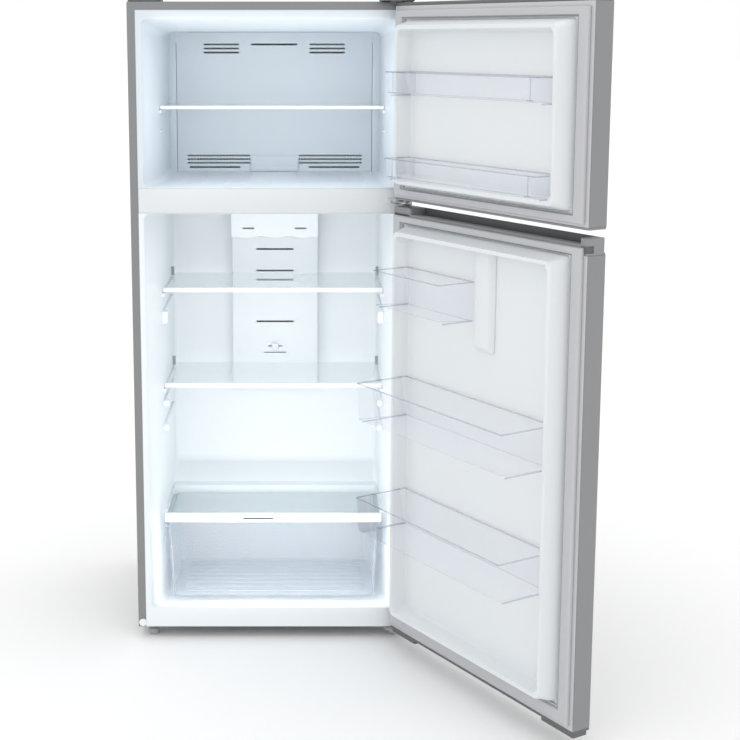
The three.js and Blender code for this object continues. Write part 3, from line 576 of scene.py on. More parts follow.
# ---------------------------------------------------------------- cabinet
def wrapper():
    """The steel wrapper: a folded front strip and the sides and top, drawn round in three runs."""
    bm = bmesh.new()
    lip = 9
    profile = [(EDGE_STRIP, lip), (EDGE_STRIP, 0), (0, 0), (0, DEPTH)]
    verts = [bm.verts.new((inset - HALF_WIDTH, y, BOTTOM)) for inset, y in profile]
    edges = [bm.edges.new(pair) for pair in zip(verts, verts[1:])]
    mitre = Matrix.Identity(4)
    mitre[2][0], mitre[2][2], mitre[2][3] = -1, 0, TOP - HALF_WIDTH
    across = Matrix.Diagonal((-1, 1, 1, 1))
    down = Matrix.Identity(4)
    down[2][2], down[2][3] = 0, BOTTOM
    for change in (mitre, across, down):
        made = bmesh.ops.extrude_edge_only(bm, edges=edges)["geom"]
        edges = [item for item in made if isinstance(item, bmesh.types.BMEdge)]
        moved = [item for item in made if isinstance(item, bmesh.types.BMVert)]
        bmesh.ops.transform(bm, matrix=change, verts=moved)
    outer = [e for e in edges_at(bm, 1, 0) if max(abs(v.co.x) for v in e.verts) > HALF_WIDTH - 1]
    shoulders = [
        e
        for e in bm.edges
        if turn_of(e) > SHARP and all(abs(v.co.x) > HALF_WIDTH - 1 and v.co.z > TOP - 1 for v in e.verts)
    ]
    bevel(bm, list({*outer, *shoulders}), 2.5, 4)
    bmesh.ops.recalc_face_normals(bm, faces=bm.faces)
    walled(bm, 1)
    return bm


class FRIDGE_OT_cabinet(bpy.types.Operator):
    """Builds the cabinet's steel wrapper, its back sheet and the plug of its spare hinge hole"""

    bl_idname = "fridge.cabinet"
    bl_label = "Cabinet"

    def execute(self, context):
        piece(wrapper(), "cabinet_wrapper", "cabinet", "painted_steel", [painted_steel()], "cabinet_shell")
        self.back_sheet()
        self.plug()
        return {"FINISHED"}

    def back_sheet(self):
        """The back, stiffened by two pressed panels."""
        x, y, z = spans("back_panel")
        bm = bmesh.new()
        block(bm, x, y, z)
        middle = (z[0] + z[1]) / 2
        for low, high in ((z[0] + 60, middle - 30), (middle + 30, z[1] - 60)):
            frame_of_swage(bm, (x[0] + 60, x[1] - 60), y[1], (low, high))
        piece(bm, "back_sheet", "cabinet", "galvanised_steel", [galvanised()], "back_panel")

    def plug(self):
        """A white snap-in plug with a domed head."""
        x, y, z = spans("hinge_hole_plug")
        middle = ((x[0] + x[1]) / 2, (y[0] - 0.3) / 2, (z[0] + z[1]) / 2)
        radius = (x[1] - x[0]) / 2
        bm = bmesh.new()
        turned = Matrix.Translation(middle) @ Matrix.Rotation(math.pi / 2, 4, "X")
        depth = -0.3 - y[0]
        bmesh.ops.create_cone(
            bm, cap_ends=True, segments=32, radius1=radius, radius2=radius, depth=depth, matrix=turned
        )
        bevel(bm, edges_at(bm, 1, y[0]), 1.6, 4)
        piece(bm, "hole_plug", "cabinet", "white_panel", [moulded_panel()], "hinge_hole_plug")


def frame_of_swage(bm, x, y, z):
    """A rounded pressed rib, 14 mm wide, round a rectangle on the back sheet."""
    rise, width = 0.35, 14
    outer = (x, z)
    inner = (grown(x, -width), grown(z, -width))
    foot, crest = y - 0.2, y + rise
    steps = [(*outer, foot), (*outer, crest), (*inner, crest), (*inner, foot)]
    bevel(bm, stepped(bm, steps, closed=True), 10, 4)


# ---------------------------------------------------------------- liners
def cavity(steps, back_y, mouth_y=0):
    """A compartment's moulded shell, from its flange to its back, with round corners."""
    bm = bmesh.new()
    corners = stepped(bm, steps)
    bevel(bm, [e for e in corners if max(v.co.y for v in e.verts) > mouth_y + 1], size("cavity_corner"), 6)
    bevel(bm, edges_at(bm, 1, back_y), size("cavity_back"), 6)
    return bm


def ledge_pair(bm, top, y, height, reach=6):
    """A moulded ledge with a round nose on each side wall."""
    for x in both_sides(CAVITY_HALF - reach, CAVITY_HALF + 1.5):
        block(bm, x, y, (top - height, top), 2.4, 3)


# The tops of the spare ledges, each with the depth of the stop at its front.
SPARE_LEDGES = ((842, 32), (602, 16), (536, 16))


class FRIDGE_OT_liners(bpy.types.Operator):
    """Builds the moulded liners of both compartments"""

    bl_idname = "fridge.liners"
    bl_label = "Liners"

    def execute(self, context):
        self.freezer()
        self.fridge()
        return {"FINISHED"}

    def freezer(self):
        """The freezer's liner, with ledges for its shelf and faint floor ribs."""
        _, y, z = spans("freezer_liner")
        floor, top = z[0] + 2, z[1]
        back = y[1] - 2
        ceiling = 1565
        mouth_top = 1595
        flange = ((-FLANGE_HALF, FLANGE_HALF), (z[0], top), 0)
        mouth = ((-MOUTH_HALF, MOUTH_HALF), (floor, mouth_top), 0)
        lead = ((-CAVITY_HALF, CAVITY_HALF), (floor, ceiling), LEAD_IN)
        end = (lead[0], lead[1], back)
        bm = cavity([flange, mouth, lead, end], back)
        bevel(bm, edges_at(bm, 1, 0), 3, 3)
        walled(bm, -1.8)
        shelf_y = spans("freezer_shelf_glass")[1]
        under = spans("freezer_shelf_trim")[2][0] - 0.4
        ledge_pair(bm, under, (LEAD_IN + 6, shelf_y[1] + 4), size("ledge_height"))
        ledge_pair(bm, under - 52, (LEAD_IN + 20, LEAD_IN + 62), 7, 4)
        panel_x, panel_y, _ = spans("evaporator_cover")
        for x in both_sides(panel_x[1] + 1.2, CAVITY_HALF + 1):
            block(bm, x, (panel_y[1] - 1.5, back + 1), (floor - 1, ceiling + 1), 0.6, 2)
        for x in both_sides(panel_x[1] - 32, CAVITY_HALF + 1):
            block(bm, x, (panel_y[1] - 1.2, panel_y[1] + 4), (ceiling - 30, ceiling + 1))
        for i in range(9):
            x = -240 + i * 60
            block(bm, (x - 2.5, x + 2.5), (60, back - 90), (floor - 1.5, floor + 0.5), 0.8, 2)
        piece(bm, "freezer_moulding", "cabinet", "white_liner", [freezer_liner_painted_shade()], "freezer_liner")

    def fridge(self):
        """The fridge's liner, with its hump over the machine compartment, ledges and shelf hooks."""
        _, y, z = spans("fridge_liner")
        floor = 66
        sill = spans("crisper_drawer")[2][0] - 1.5
        ceiling, mouth_top = 1112, z[1] - 2
        back = y[1] - 2
        hump_front, hump_top, hump_back_top = 372, 300, 345
        near_sill = 45
        narrowing = (MOUTH_HALF - CAVITY_HALF) / LEAD_IN
        at_floor = MOUTH_HALF - near_sill * narrowing
        lead_ceiling = mouth_top - (mouth_top - ceiling) * near_sill / LEAD_IN
        wall = (-CAVITY_HALF, CAVITY_HALF)
        steps = [
            ((-FLANGE_HALF, FLANGE_HALF), z, 0),
            ((-MOUTH_HALF, MOUTH_HALF), (sill, mouth_top), 0),
            ((-at_floor, at_floor), (floor, lead_ceiling), near_sill),
            (wall, (floor, ceiling), LEAD_IN),
            (wall, (floor, ceiling), hump_front - 6),
            (wall, (hump_top - 3, ceiling), hump_front),
            (wall, (hump_top + 3, ceiling), hump_front + 6),
            (wall, (hump_back_top, ceiling), back),
        ]
        bm = cavity(steps, back)
        bevel(bm, edges_at(bm, 1, 0), 3, 3)
        walled(bm, -1.8)
        self.supports(bm)
        finishes = [formed_liner(), grey_foot()]
        piece(bm, "fridge_moulding", "cabinet", "white_liner", finishes, "fridge_liner")

    def supports(self, bm):
        """Ledges under the shelves, spare ledges between them, and hooks at the shelves' back corners."""
        height = size("ledge_height")
        for shelf in ("upper_shelf", "lower_shelf"):
            glass_y, glass_z = spans(shelf + "_glass")[1:]
            under = spans(shelf + "_trim")[2][0] - 0.4
            ledge_pair(bm, under, (LEAD_IN + 6, glass_y[1]), height)
            for x in both_sides(CAVITY_HALF - 8, CAVITY_HALF + 1):
                hook = block(bm, x, (glass_y[1] + 0.8, glass_y[1] + 7), (under + 3, glass_z[1] + 16), 2, 3)
                finished_in(hook, 1)
        for top, stop in SPARE_LEDGES:
            ledge_pair(bm, top, (LEAD_IN + 8, 400), height)
            for x in both_sides(CAVITY_HALF - 15, CAVITY_HALF + 2):
                block(bm, x, (LEAD_IN - 8, LEAD_IN + 20), (top - stop, top + 2), 6, 5)
        cover_y, cover_z = spans("crisper_cover_glass")[1:]
        ledge_pair(bm, cover_z[0] - 6.2, (LEAD_IN + 6, cover_y[1]), height)


SCREW_PLUG = (266, -0.4, 1147)


class FRIDGE_OT_mullion(bpy.types.Operator):
    """Builds the cover of the bar between the compartments, with its screw plug"""

    bl_idname = "fridge.mullion"
    bl_label = "Mullion"

    def execute(self, context):
        x, y, z = spans("mullion_cover")
        bm = bmesh.new()
        block(bm, x, y, z, 1, 3)
        for low in (z[0] + 1.5, z[1] - 3.5):
            block(bm, (x[0] + 1, x[1] - 1), (y[0] - 0.25, y[0] + 1), (low, low + 2), 0.4, 2)
        turned = Matrix.Translation(SCREW_PLUG) @ Matrix.Rotation(math.pi / 2, 4, "X")
        bmesh.ops.create_cone(
            bm, cap_ends=True, segments=24, radius1=3.6, radius2=3.2, depth=1.4, matrix=turned
        )
        # The bar takes the door liner's greyer colour: painted shade.
        piece(bm, "mullion_bar", "cabinet", "white_liner", [door_liner_painted_shade()], "mullion_cover")
        return {"FINISHED"}


# ---------------------------------------------------------------- cold air
# The heights of the rows of slots in the freezer's panel, the duct and the lamp cover.
SLOT_HALF = 2.5
SUPPLY_ROWS = (1531, 1520, 1509)
RETURN_ROWS = (1227, 1217, 1207)
LOWEST_ROW = 1195
OUTLET_ROWS = (966, 905, 879, 760, 580)
LAMP_ROW = 1029
GRILLE = (68, 241)


def slots(across, *heights):
    """Slots as (X span, Z span): one across each of the spans at each of the heights."""
    return [(x, (height - SLOT_HALF, height + SLOT_HALF)) for height in heights for x in across]


class FRIDGE_OT_cold_air(bpy.types.Operator):
    """Builds the freezer's back panel, the air duct with its slots, the lamp cover and the slider"""

    bl_idname = "fridge.cold_air"
    bl_label = "Cold air"

    def execute(self, context):
        self.freezer_panel()
        self.duct()
        self.lamp()
        self.slider()
        return {"FINISHED"}

    def freezer_panel(self):
        """The panel over the evaporator: supply slots above, return grilles below."""
        x, y, z = spans("evaporator_cover")
        face = y[1] - 2.5
        bm = bmesh.new()
        corners = stepped(bm, [(x, z, y[1] - 1), (x, z, face)])
        bevel(bm, [e for e in corners if max(v.co.z for v in e.verts) > z[0] + 100], 28, 8)
        openings = slots(both_sides(97, 193), *SUPPLY_ROWS) + slots([(-63, 63)], SUPPLY_ROWS[0])
        openings += slots(both_sides(*GRILLE), *RETURN_ROWS) + slots(both_sides(95, 235), LOWEST_ROW)
        windows(bm, openings, face)
        walled(bm, 1.2)
        pitch = size("comb_pitch")
        comb_z = (RETURN_ROWS[-1] - 6, RETURN_ROWS[0] + 5)
        for side in (1, -1):
            for i in range(int((GRILLE[1] - GRILLE[0]) / pitch)):
                middle = side * (GRILLE[0] + (i + 0.5) * pitch)
                block(bm, (middle - 0.7, middle + 0.7), (face + 0.6, face + 2.2), comb_z)
        block(bm, (-66, 66), (face - 8, face + 0.6), (z[0], 1226), 3, 3)
        block(bm, (-58, 58), (face - 8.6, face - 6), (z[0] + 5, 1196), 1, 2)
        finishes = [freezer_panel_painted_shade()]
        piece(bm, "freezer_back_panel", "cabinet", "white_panel", finishes, "evaporator_cover")

    def duct(self):
        """The duct's cover, open at the back, with five outlets and the framed slot of the slider."""
        x, y, z = spans("air_duct_cover")
        bm = bmesh.new()
        corners = stepped(bm, [(x, z, y[1]), (x, z, y[0])])
        bevel(bm, corners, 6, 4)
        knob_slot, groove = ((-20, 20), (687.6, 690.4)), ((-31, 31), (669.4, 672))
        windows(bm, slots([(-52, 52)], *OUTLET_ROWS) + [knob_slot, groove], y[0])
        bevel(bm, [e for e in edges_at(bm, 1, y[0]) if not e.is_boundary], 1.5, 3)
        walled(bm, 2.2)
        rows, hole = (673, 705), (675.5, 702.5)
        raised = [((-30, 30), rows, y[0] + 0.5), ((-30, 30), rows, y[0] - 0.9)]
        inner = [((-27, 27), hole, y[0] - 0.9), ((-27, 27), hole, y[0] + 0.5)]
        stepped(bm, raised + inner, closed=True)
        piece(bm, "duct_cover", "cabinet", "white_panel", [moulded_panel()], "air_duct_cover")

    def lamp(self):
        """The lamp's lens: a shallow box with a wavy lower edge and two small outlets."""
        x, y, z = spans("lamp_cover")
        bm = bmesh.new()
        corners = stepped(bm, [(x, z, y[1]), (x, z, y[0])])
        bevel(bm, corners, 7, 4)
        windows(bm, slots(both_sides(56, 88), LAMP_ROW), y[0])
        divided(bm, range(-100, 101, 10), 0, y[0])
        wave, rise = 3 * math.pi / x[1], 1.8
        for vert in bm.verts:
            if vert.co.z < z[0] + 0.5 and vert.co.y < y[0] + 1:
                vert.co.z += rise * (1 - math.cos(vert.co.x * wave))
        walled(bm, 2)
        piece(bm, "lamp_lens", "cabinet", "lamp_diffuser", [lamp_lens()], "lamp_cover")

    def slider(self):
        """The temperature knob, ribbed for the finger, with its neck through the slot."""
        x, y, z = spans("temperature_slider")
        bm = bmesh.new()
        block(bm, x, (y[0], y[0] + 8.4), z, 1.5, 3)
        for i in range(5):
            height = z[0] + 3 + i * 3
            block(bm, (x[0] + 2, x[1] - 2), (y[0] - 0.2, y[0] + 0.6), (height - 0.5, height + 0.5))
        middle = (x[0] + x[1]) / 2
        block(bm, (middle - 3, middle + 3), (y[0] + 8, y[1]), (688, 690))
        node = "temperature_slider"
        piece(bm, "temperature_knob", node, "white_panel", [moulded_panel()], node)


# ---------------------------------------------------------------- shelves and crisper
def pane(node, body):
    """A glass shelf with ground edges."""
    bm = bmesh.new()
    x, y, z = spans(node)
    corner_block(bm, x, y, z, 2, 6, 0.8)
    piece(bm, node.replace("_glass", "_pane"), body, "shelf_glass", [shelf_glass()], node)


def nosing(bm, node, rise):
    """A front trim that wraps the glass: a round nose with a lip over and under the pane."""
    x, y, z = spans(node)
    glass_z = spans(node.replace("_trim", "_glass"))[2]
    inner = grown(x, -0.4)
    block(bm, x, (y[0], y[0] + 3.6), (z[1] - rise, z[1]), 1.6, 4)
    block(bm, inner, (y[0] + 1.5, y[0] + 9), (glass_z[1] + 0.3, z[1]), 0.7, 2)
    block(bm, inner, (y[0] + 1.5, y[0] + 12), (glass_z[0] - 2.2, glass_z[0] - 0.3), 0.6, 2)


class FRIDGE_OT_shelves(bpy.types.Operator):
    """Builds the three glass shelves with their front trims"""

    bl_idname = "fridge.shelves"
    bl_label = "Shelves"

    def execute(self, context):
        for shelf, rise in (("freezer_shelf", 8.2), ("upper_shelf", 11.5), ("lower_shelf", 11.5)):
            pane(shelf + "_glass", shelf)
            bm = bmesh.new()
            nosing(bm, shelf + "_trim", rise)
            piece(bm, shelf + "_nosing", shelf, "shelf_trim", [trim_plastic()], shelf + "_trim")
        return {"FINISHED"}


class FRIDGE_OT_crisper(bpy.types.Operator):
    """Builds the crisper's glass cover, its deep front trim and the clear drawer"""

    bl_idname = "fridge.crisper"
    bl_label = "Crisper"

    def execute(self, context):
        pane("crisper_cover_glass", "crisper_cover")
        self.cover_trim()
        self.drawer()
        return {"FINISHED"}

    def cover_trim(self):
        """The cover's front bar, with a finger slot a little left of the middle, darkened by a black block
        behind it as painted shade.
        """
        x, y, z = spans("crisper_cover_trim")
        bm = bmesh.new()
        corners = stepped(bm, [(x, z, y[0] + 3.4), (x, z, y[0])])
        bevel(bm, corners, 4, 4)
        windows(bm, [((-79, 1), (297, 301))], y[0])
        bevel(bm, [e for e in edges_at(bm, 1, y[0]) if not e.is_boundary], 1.5, 3)
        walled(bm, 1.2)
        # A black block behind the slot stands in for the shade inside it: painted shade.
        finished_in(block(bm, (-84, 6), (y[0] + 1.8, y[0] + 2.6), (293, 305)), 1)
        glass_z = spans("crisper_cover_glass")[2]
        inner = grown(x, -1)
        block(bm, inner, (y[0] + 1.5, y[0] + 11), (glass_z[1] + 0.3, z[1] - 0.1), 0.7, 2)
        block(bm, inner, (y[0] + 3.4, y[0] + 14), (glass_z[0] - 2.2, glass_z[0] - 0.3), 0.6, 2)
        finishes = [trim_plastic(), black_plastic()]
        piece(bm, "crisper_cover_nosing", "crisper_cover", "shelf_trim", finishes, "crisper_cover_trim")

    def drawer(self):
        """A clear tray that narrows to the back, ribbed in its floor, behind a round-cornered front."""
        x, y, z = spans("crisper_drawer")
        bm = bmesh.new()
        corner_block(bm, x, (y[0], y[0] + 3.2), z, 1, size("drawer_corner"), 1, 6)
        near, far = y[0] + 3.4, y[1]
        body, wall, taper = x[1] - 12, 2.6, 11
        low, high = z[0], z[1] - 8
        rim = ((-body, body), (near - 9, far), high)
        foot = ((-body + taper, body - taper), (near - 9, far - 10), low)
        inner_rim = (grown(rim[0], -wall), grown(rim[1], -wall), high)
        inner_foot = (grown(foot[0], -wall), grown(foot[1], -wall), low + wall)
        tray = bmesh.new()
        corners = stepped(tray, [foot, rim, inner_rim, inner_foot], axis=2)
        upright = [e for e in corners if abs(e.verts[0].co.z - e.verts[1].co.z) > 5]
        bmesh.ops.contextual_create(tray, geom=edges_at(tray, 2, low, False))
        bevel(tray, upright, 16, 5)
        bevel(tray, edges_at(tray, 2, low), 6, 3)
        self.cut_open(tray, near)
        bmesh.ops.recalc_face_normals(tray, faces=tray.faces)
        mesh = bpy.data.meshes.new("tray")
        tray.to_mesh(mesh)
        tray.free()
        bm.from_mesh(mesh)
        bpy.data.meshes.remove(mesh)
        rib_z = (low + wall - 0.4, low + wall + 2.4)
        for i in range(8):
            y_rib = near + 26 + i * 30
            finished_in(block(bm, (-body + 40, body - 40), (y_rib, y_rib + 5), rib_z, 1, 2), 1)
        for flank in both_sides(body - 1.5, x[1] - 1):
            finished_in(block(bm, flank, (near, far - 12), (high - 3, high), 0.8, 2), 1)
        finishes = [clear_plastic(), frosted_plastic(), clear_edge_painted_shade()]
        piece(bm, "crisper_tray", "crisper_drawer", "clear_plastic", finishes, "crisper_drawer")

    def cut_open(self, tray, near):
        """Takes the tray's front wall off behind the pane, and closes the cut with an edge in the edge
        finish's painted shade.
        """
        for face in tray.faces:
            face.material_index = 1
        everything = tray.verts[:] + tray.edges[:] + tray.faces[:]
        bmesh.ops.bisect_plane(
            tray, geom=everything, plane_co=(0, near, 0), plane_no=(0, 1, 0), dist=1e-4, clear_inner=True
        )
        cut = [edge for edge in tray.edges if edge.is_boundary]
        for face in bmesh.ops.contextual_create(tray, geom=cut)["faces"]:
            face.material_index = 2


# ---------------------------------------------------------------- doors
# The raised border of each door's liner: its height span, its half widths and how far it stands out.
DIKE = {"freezer_door": (1192, 1592), "fridge_door": (97, 1099)}
DIKE_BASE_HALF = 300
DIKE_TOP_HALF = 288
DIKE_FRONT = 33.5
# The recess inside the border, the seal round it, and the caps on the doors' ends.
RECESS_HALF = 278
RECESS_FLOOR = -8
SEAL_OUTER = 339
SEAL_INNER = 304
CAP_X = (-350.4, 350.4)
CAP_Y = (DOOR_FRONT + 0.6, RIM_PLANE - 0.6)
CAP_CORNER = 7.4


class FRIDGE_OT_doors(bpy.types.Operator):
    """Builds both doors: steel skins, liners, seals and end caps"""

    bl_idname = "fridge.doors"
    bl_label = "Doors"

    def execute(self, context):
        for door in ("freezer_door", "fridge_door"):
            self.core(door)
            self.skin(door)
            self.rim(door)
            self.liner(door)
            self.seal(door)
        self.plain_cap("freezer_door_top_cap", "freezer_door", dark_cap(), "dark_cap")
        self.plain_cap("freezer_door_base_cap", "freezer_door", grey_cap(), "grey_cap")
        self.grip_cap()
        self.footed_cap()
        return {"FINISHED"}

    def core(self, door):
        """The foam inside the skin and inside the liner's raised border."""
        skin, _ = door_heights(door)
        low, high = DIKE[door]
        inset = 3.5
        bm = bmesh.new()
        depth = (DOOR_FRONT + 1.6, RIM_PLANE - 2.6)
        corner_block(bm, grown((-HALF_WIDTH, HALF_WIDTH), -1.8), depth, grown(skin, -0.6), 2, 7, 1)
        half = DIKE_BASE_HALF - inset
        slope = DIKE_BASE_HALF - DIKE_TOP_HALF
        foot = ((-half, half), (low + inset, high - inset))
        crest = tuple(grown(span, -slope) for span in foot)
        inner = tuple(grown(span, -3) for span in crest)
        crown = DIKE_FRONT - 4
        steps = [(*foot, depth[1] - 1), (*crest, crown), (*inner, crown), (*inner, depth[1] - 1)]
        bevel(bm, stepped(bm, steps, closed=True), size("dike_corner"), 4)
        bmesh.ops.recalc_face_normals(bm, faces=bm.faces)
        piece(bm, door + "_core", door, "insulation_foam", [foam()], door + "_foam", place=OPENED)

    def skin(self, door):
        """Sheet steel wrapped round the front and both edges, rounded at its four long folds."""
        skin, _ = door_heights(door)
        bm = bmesh.new()
        back = RIM_PLANE - 1.2
        plan = [(-HALF_WIDTH, back), (-HALF_WIDTH, DOOR_FRONT), (HALF_WIDTH, DOOR_FRONT), (HALF_WIDTH, back)]
        verts = [bm.verts.new((x, y, skin[0])) for x, y in plan]
        edges = [bm.edges.new(pair) for pair in zip(verts, verts[1:])]
        made = bmesh.ops.extrude_edge_only(bm, edges=edges)["geom"]
        moved = [item for item in made if isinstance(item, bmesh.types.BMVert)]
        bmesh.ops.translate(bm, vec=(0, 0, skin[1] - skin[0]), verts=moved)
        bevel(bm, [e for e in bm.edges if turn_of(e) > SHARP], size("door_corner"), 8)
        walled(bm, DOOR_SKIN)
        piece(bm, door + "_steel", door, "painted_steel", [painted_steel()], door + "_skin", place=OPENED)

    def rim(self, door):
        """The folded rim round the seal, its steel coat painted paler as a painted highlight, a shade lower
        than the steel's edge so that a seam shows.
        """
        skin, seal = door_heights(door)
        bm = bmesh.new()
        outer = ((-HALF_WIDTH + 1.6, HALF_WIDTH - 1.6), (skin[0], skin[1]))
        inner = ((-329.0, 329.0), (seal[0] + 2, min(seal[1], skin[1]) - 2))
        steps = [(*outer, RIM_PLANE - 4), (*outer, RIM_PLANE), (*inner, RIM_PLANE), (*inner, RIM_PLANE - 4)]
        stepped(bm, steps, closed=True)
        bevel(bm, edges_at(bm, 1, RIM_PLANE), 1.2, 3)
        bmesh.ops.recalc_face_normals(bm, faces=bm.faces)
        piece(bm, door + "_rim", door, "painted_steel", [rim_painted_highlight()], place=OPENED)

    def liner(self, door):
        """The formed liner: a flat flange, a raised border with round corners and the recess inside it."""
        skin, seal = door_heights(door)
        low, high = DIKE[door]
        draft = DIKE_BASE_HALF - DIKE_TOP_HALF
        border = DIKE_BASE_HALF - RECESS_HALF
        flange = ((-328.5, 328.5), (max(seal[0], skin[0]) + 2, min(seal[1], skin[1]) - 2))
        foot = ((-DIKE_BASE_HALF, DIKE_BASE_HALF), (low, high))
        crest = ((-DIKE_TOP_HALF, DIKE_TOP_HALF), (low + draft, high - draft))
        edge = ((-RECESS_HALF, RECESS_HALF), (low + border, high - border))
        pit = (grown(edge[0], -6), grown(edge[1], -6))
        bm = bmesh.new()
        steps = [
            (*flange, RIM_PLANE),
            (*foot, RIM_PLANE),
            (*crest, DIKE_FRONT),
            (*edge, DIKE_FRONT),
            (*pit, RECESS_FLOOR),
        ]
        raised = [e for e in stepped(bm, steps) if max(v.co.y for v in e.verts) > RIM_PLANE + 1]
        bevel(bm, raised, size("dike_corner"), 6)
        bevel(bm, edges_at(bm, 1, DIKE_FRONT), 3.5, 4)
        bevel(bm, edges_at(bm, 1, RECESS_FLOOR), 5, 4)
        walled(bm, -1.6)
        if door == "fridge_door":
            self.ridge(bm, edge[1][1])
        finishes = [door_liner_painted_shade()]
        piece(bm, door + "_moulding", door, "white_liner", finishes, door + "_liner", place=OPENED)

    def ridge(self, bm, top):
        """The stiffening ridge beside the short bin: low, drafted on three sides and well rounded."""
        x, y, z = (-64, 12), (RECESS_FLOOR - 1, RECESS_FLOOR + 18), (836, top + 4)
        verts = block(bm, x, y, z)
        edges = list({edge for vert in verts for edge in vert.link_edges})
        raised = [vert for vert in verts if vert.co.y > RECESS_FLOOR]
        pivot = Matrix.Translation((-(x[0] + x[1]) / 2, 0, -z[1]))
        bmesh.ops.scale(bm, vec=(0.62, 1, 0.93), space=pivot, verts=raised)
        bevel(bm, edges, 8, 5)

    def seal(self, door):
        """The magnetic seal: a flat foot, two grooves and the soft bulb that meets the cabinet."""
        _, seal = door_heights(door)
        low, high = DIKE[door]
        base, crown = RIM_PLANE + 0.3, RIM_PLANE + 10.6
        outer = ((-SEAL_OUTER, SEAL_OUTER), seal)
        inner = ((-SEAL_INNER, SEAL_INNER), (low - 2.5, high + 2))
        profile = [
            (0, base),
            (0, base + 7),
            (0.09, crown),
            (0.74, crown),
            (0.8, crown - 2),
            (0.82, base + 2),
            (0.92, base + 2),
            (0.94, base + 6),
            (1, base + 6),
            (1, base),
        ]

        def between(share):
            """The rectangle that lies that share of the way from the outer edge to the inner one."""
            ends = zip(outer, inner)
            return tuple(tuple(a + (b - a) * share for a, b in zip(far, near)) for far, near in ends)

        bm = bmesh.new()
        stepped(bm, [(*between(share), y) for share, y in profile], closed=True)
        rows = [e for e in bm.edges if turn_of(e) > SHARP]
        bevel(bm, [e for e in rows if abs(e.verts[0].co.y - e.verts[1].co.y) < 0.01], 0.9, 2)
        bmesh.ops.recalc_face_normals(bm, faces=bm.faces)
        piece(bm, door + "_seal", door, "gasket_vinyl", [seal_vinyl()], door + "_gasket", place=OPENED)

    def plain_cap(self, node, door, material, slot):
        """A plastic cap over the open end of a door's skin."""
        _, _, z = spans(node)
        bm = bmesh.new()
        corner_block(bm, CAP_X, CAP_Y, z, 2, CAP_CORNER, 1.2)
        piece(bm, node + "_moulding", door, slot, [material], node, place=OPENED)

    def grip_cap(self):
        """The fridge door's top cap: a trough for the fingers between its lip and a lower inner wall. The lip
        and the trough's floor take the dark cap plastic as painted shade in the trough.
        """
        _, _, z = spans("fridge_door_grip_cap")
        front, back = DOOR_FRONT + 5, RIM_PLANE - 0.4
        trough_x, trough_y = (-325, 280), (-56, -34)
        bm = bmesh.new()
        block(bm, (-350, 350), (front, back), (z[0], z[0] + 5), 0.8, 2)
        corner_block(bm, CAP_X, CAP_Y, (z[0], z[0] + 1.6), 2, CAP_CORNER, 0.6)
        corner_block(bm, (-350, 350), (trough_y[1], back), (z[0] + 4, z[1] - 14), 2, 5, 1.2)
        corner_block(bm, (-350, trough_x[0]), (front, back), (z[0] + 4, z[1]), 2, 5, 1.2)
        corner_block(bm, (trough_x[1], 350), (front, back), (z[0] + 4, z[1]), 2, 5, 1.2)
        # The lip and the trough's floor take the dark cap plastic: painted shade in the trough.
        lip = block(bm, (trough_x[0] - 3, trough_x[1] + 3), (front, trough_y[0]), (z[0] + 4, z[1]), 1.5, 3)
        finished_in(lip, 1)
        well = block(bm, trough_x, grown(trough_y, -0.2), (z[0] + 4, z[0] + 6))
        finished_in(well, 1)
        finishes = [grey_cap(), dark_cap()]
        node = "fridge_door_grip_cap"
        piece(bm, "grip_cap_moulding", "fridge_door", "grey_cap", finishes, node, place=OPENED)

    def footed_cap(self):
        """The fridge door's base cap, with a block at each end."""
        _, _, z = spans("fridge_door_base_cap")
        bm = bmesh.new()
        base = BOTTOM + 12
        corner_block(bm, CAP_X, CAP_Y, (base, z[1]), 2, CAP_CORNER, 1)
        feet_y = (DOOR_FRONT + 6, RIM_PLANE - 6)
        for x in ((247, 348), (-347, -237)):
            corner_block(bm, x, feet_y, (z[0], base + 2), 2, 6, 1.5)
        node = "fridge_door_base_cap"
        piece(bm, "base_cap_moulding", "fridge_door", "dark_cap", [dark_cap()], node, place=OPENED)


# ---------------------------------------------------------------- bins
# Each bin's name, where it starts across the door, how far it reaches and how wide its boxed ends are.
BINS = (
    ("freezer_bin_upper", -BIN_HALF, 70, 28),
    ("freezer_bin_lower", -BIN_HALF, 70, 28),
    ("fridge_bin_small", 13, 99, 0),
    ("fridge_bin_middle", -BIN_HALF, 145, 0),
    ("fridge_bin_lower", -BIN_HALF, 145, 0),
)


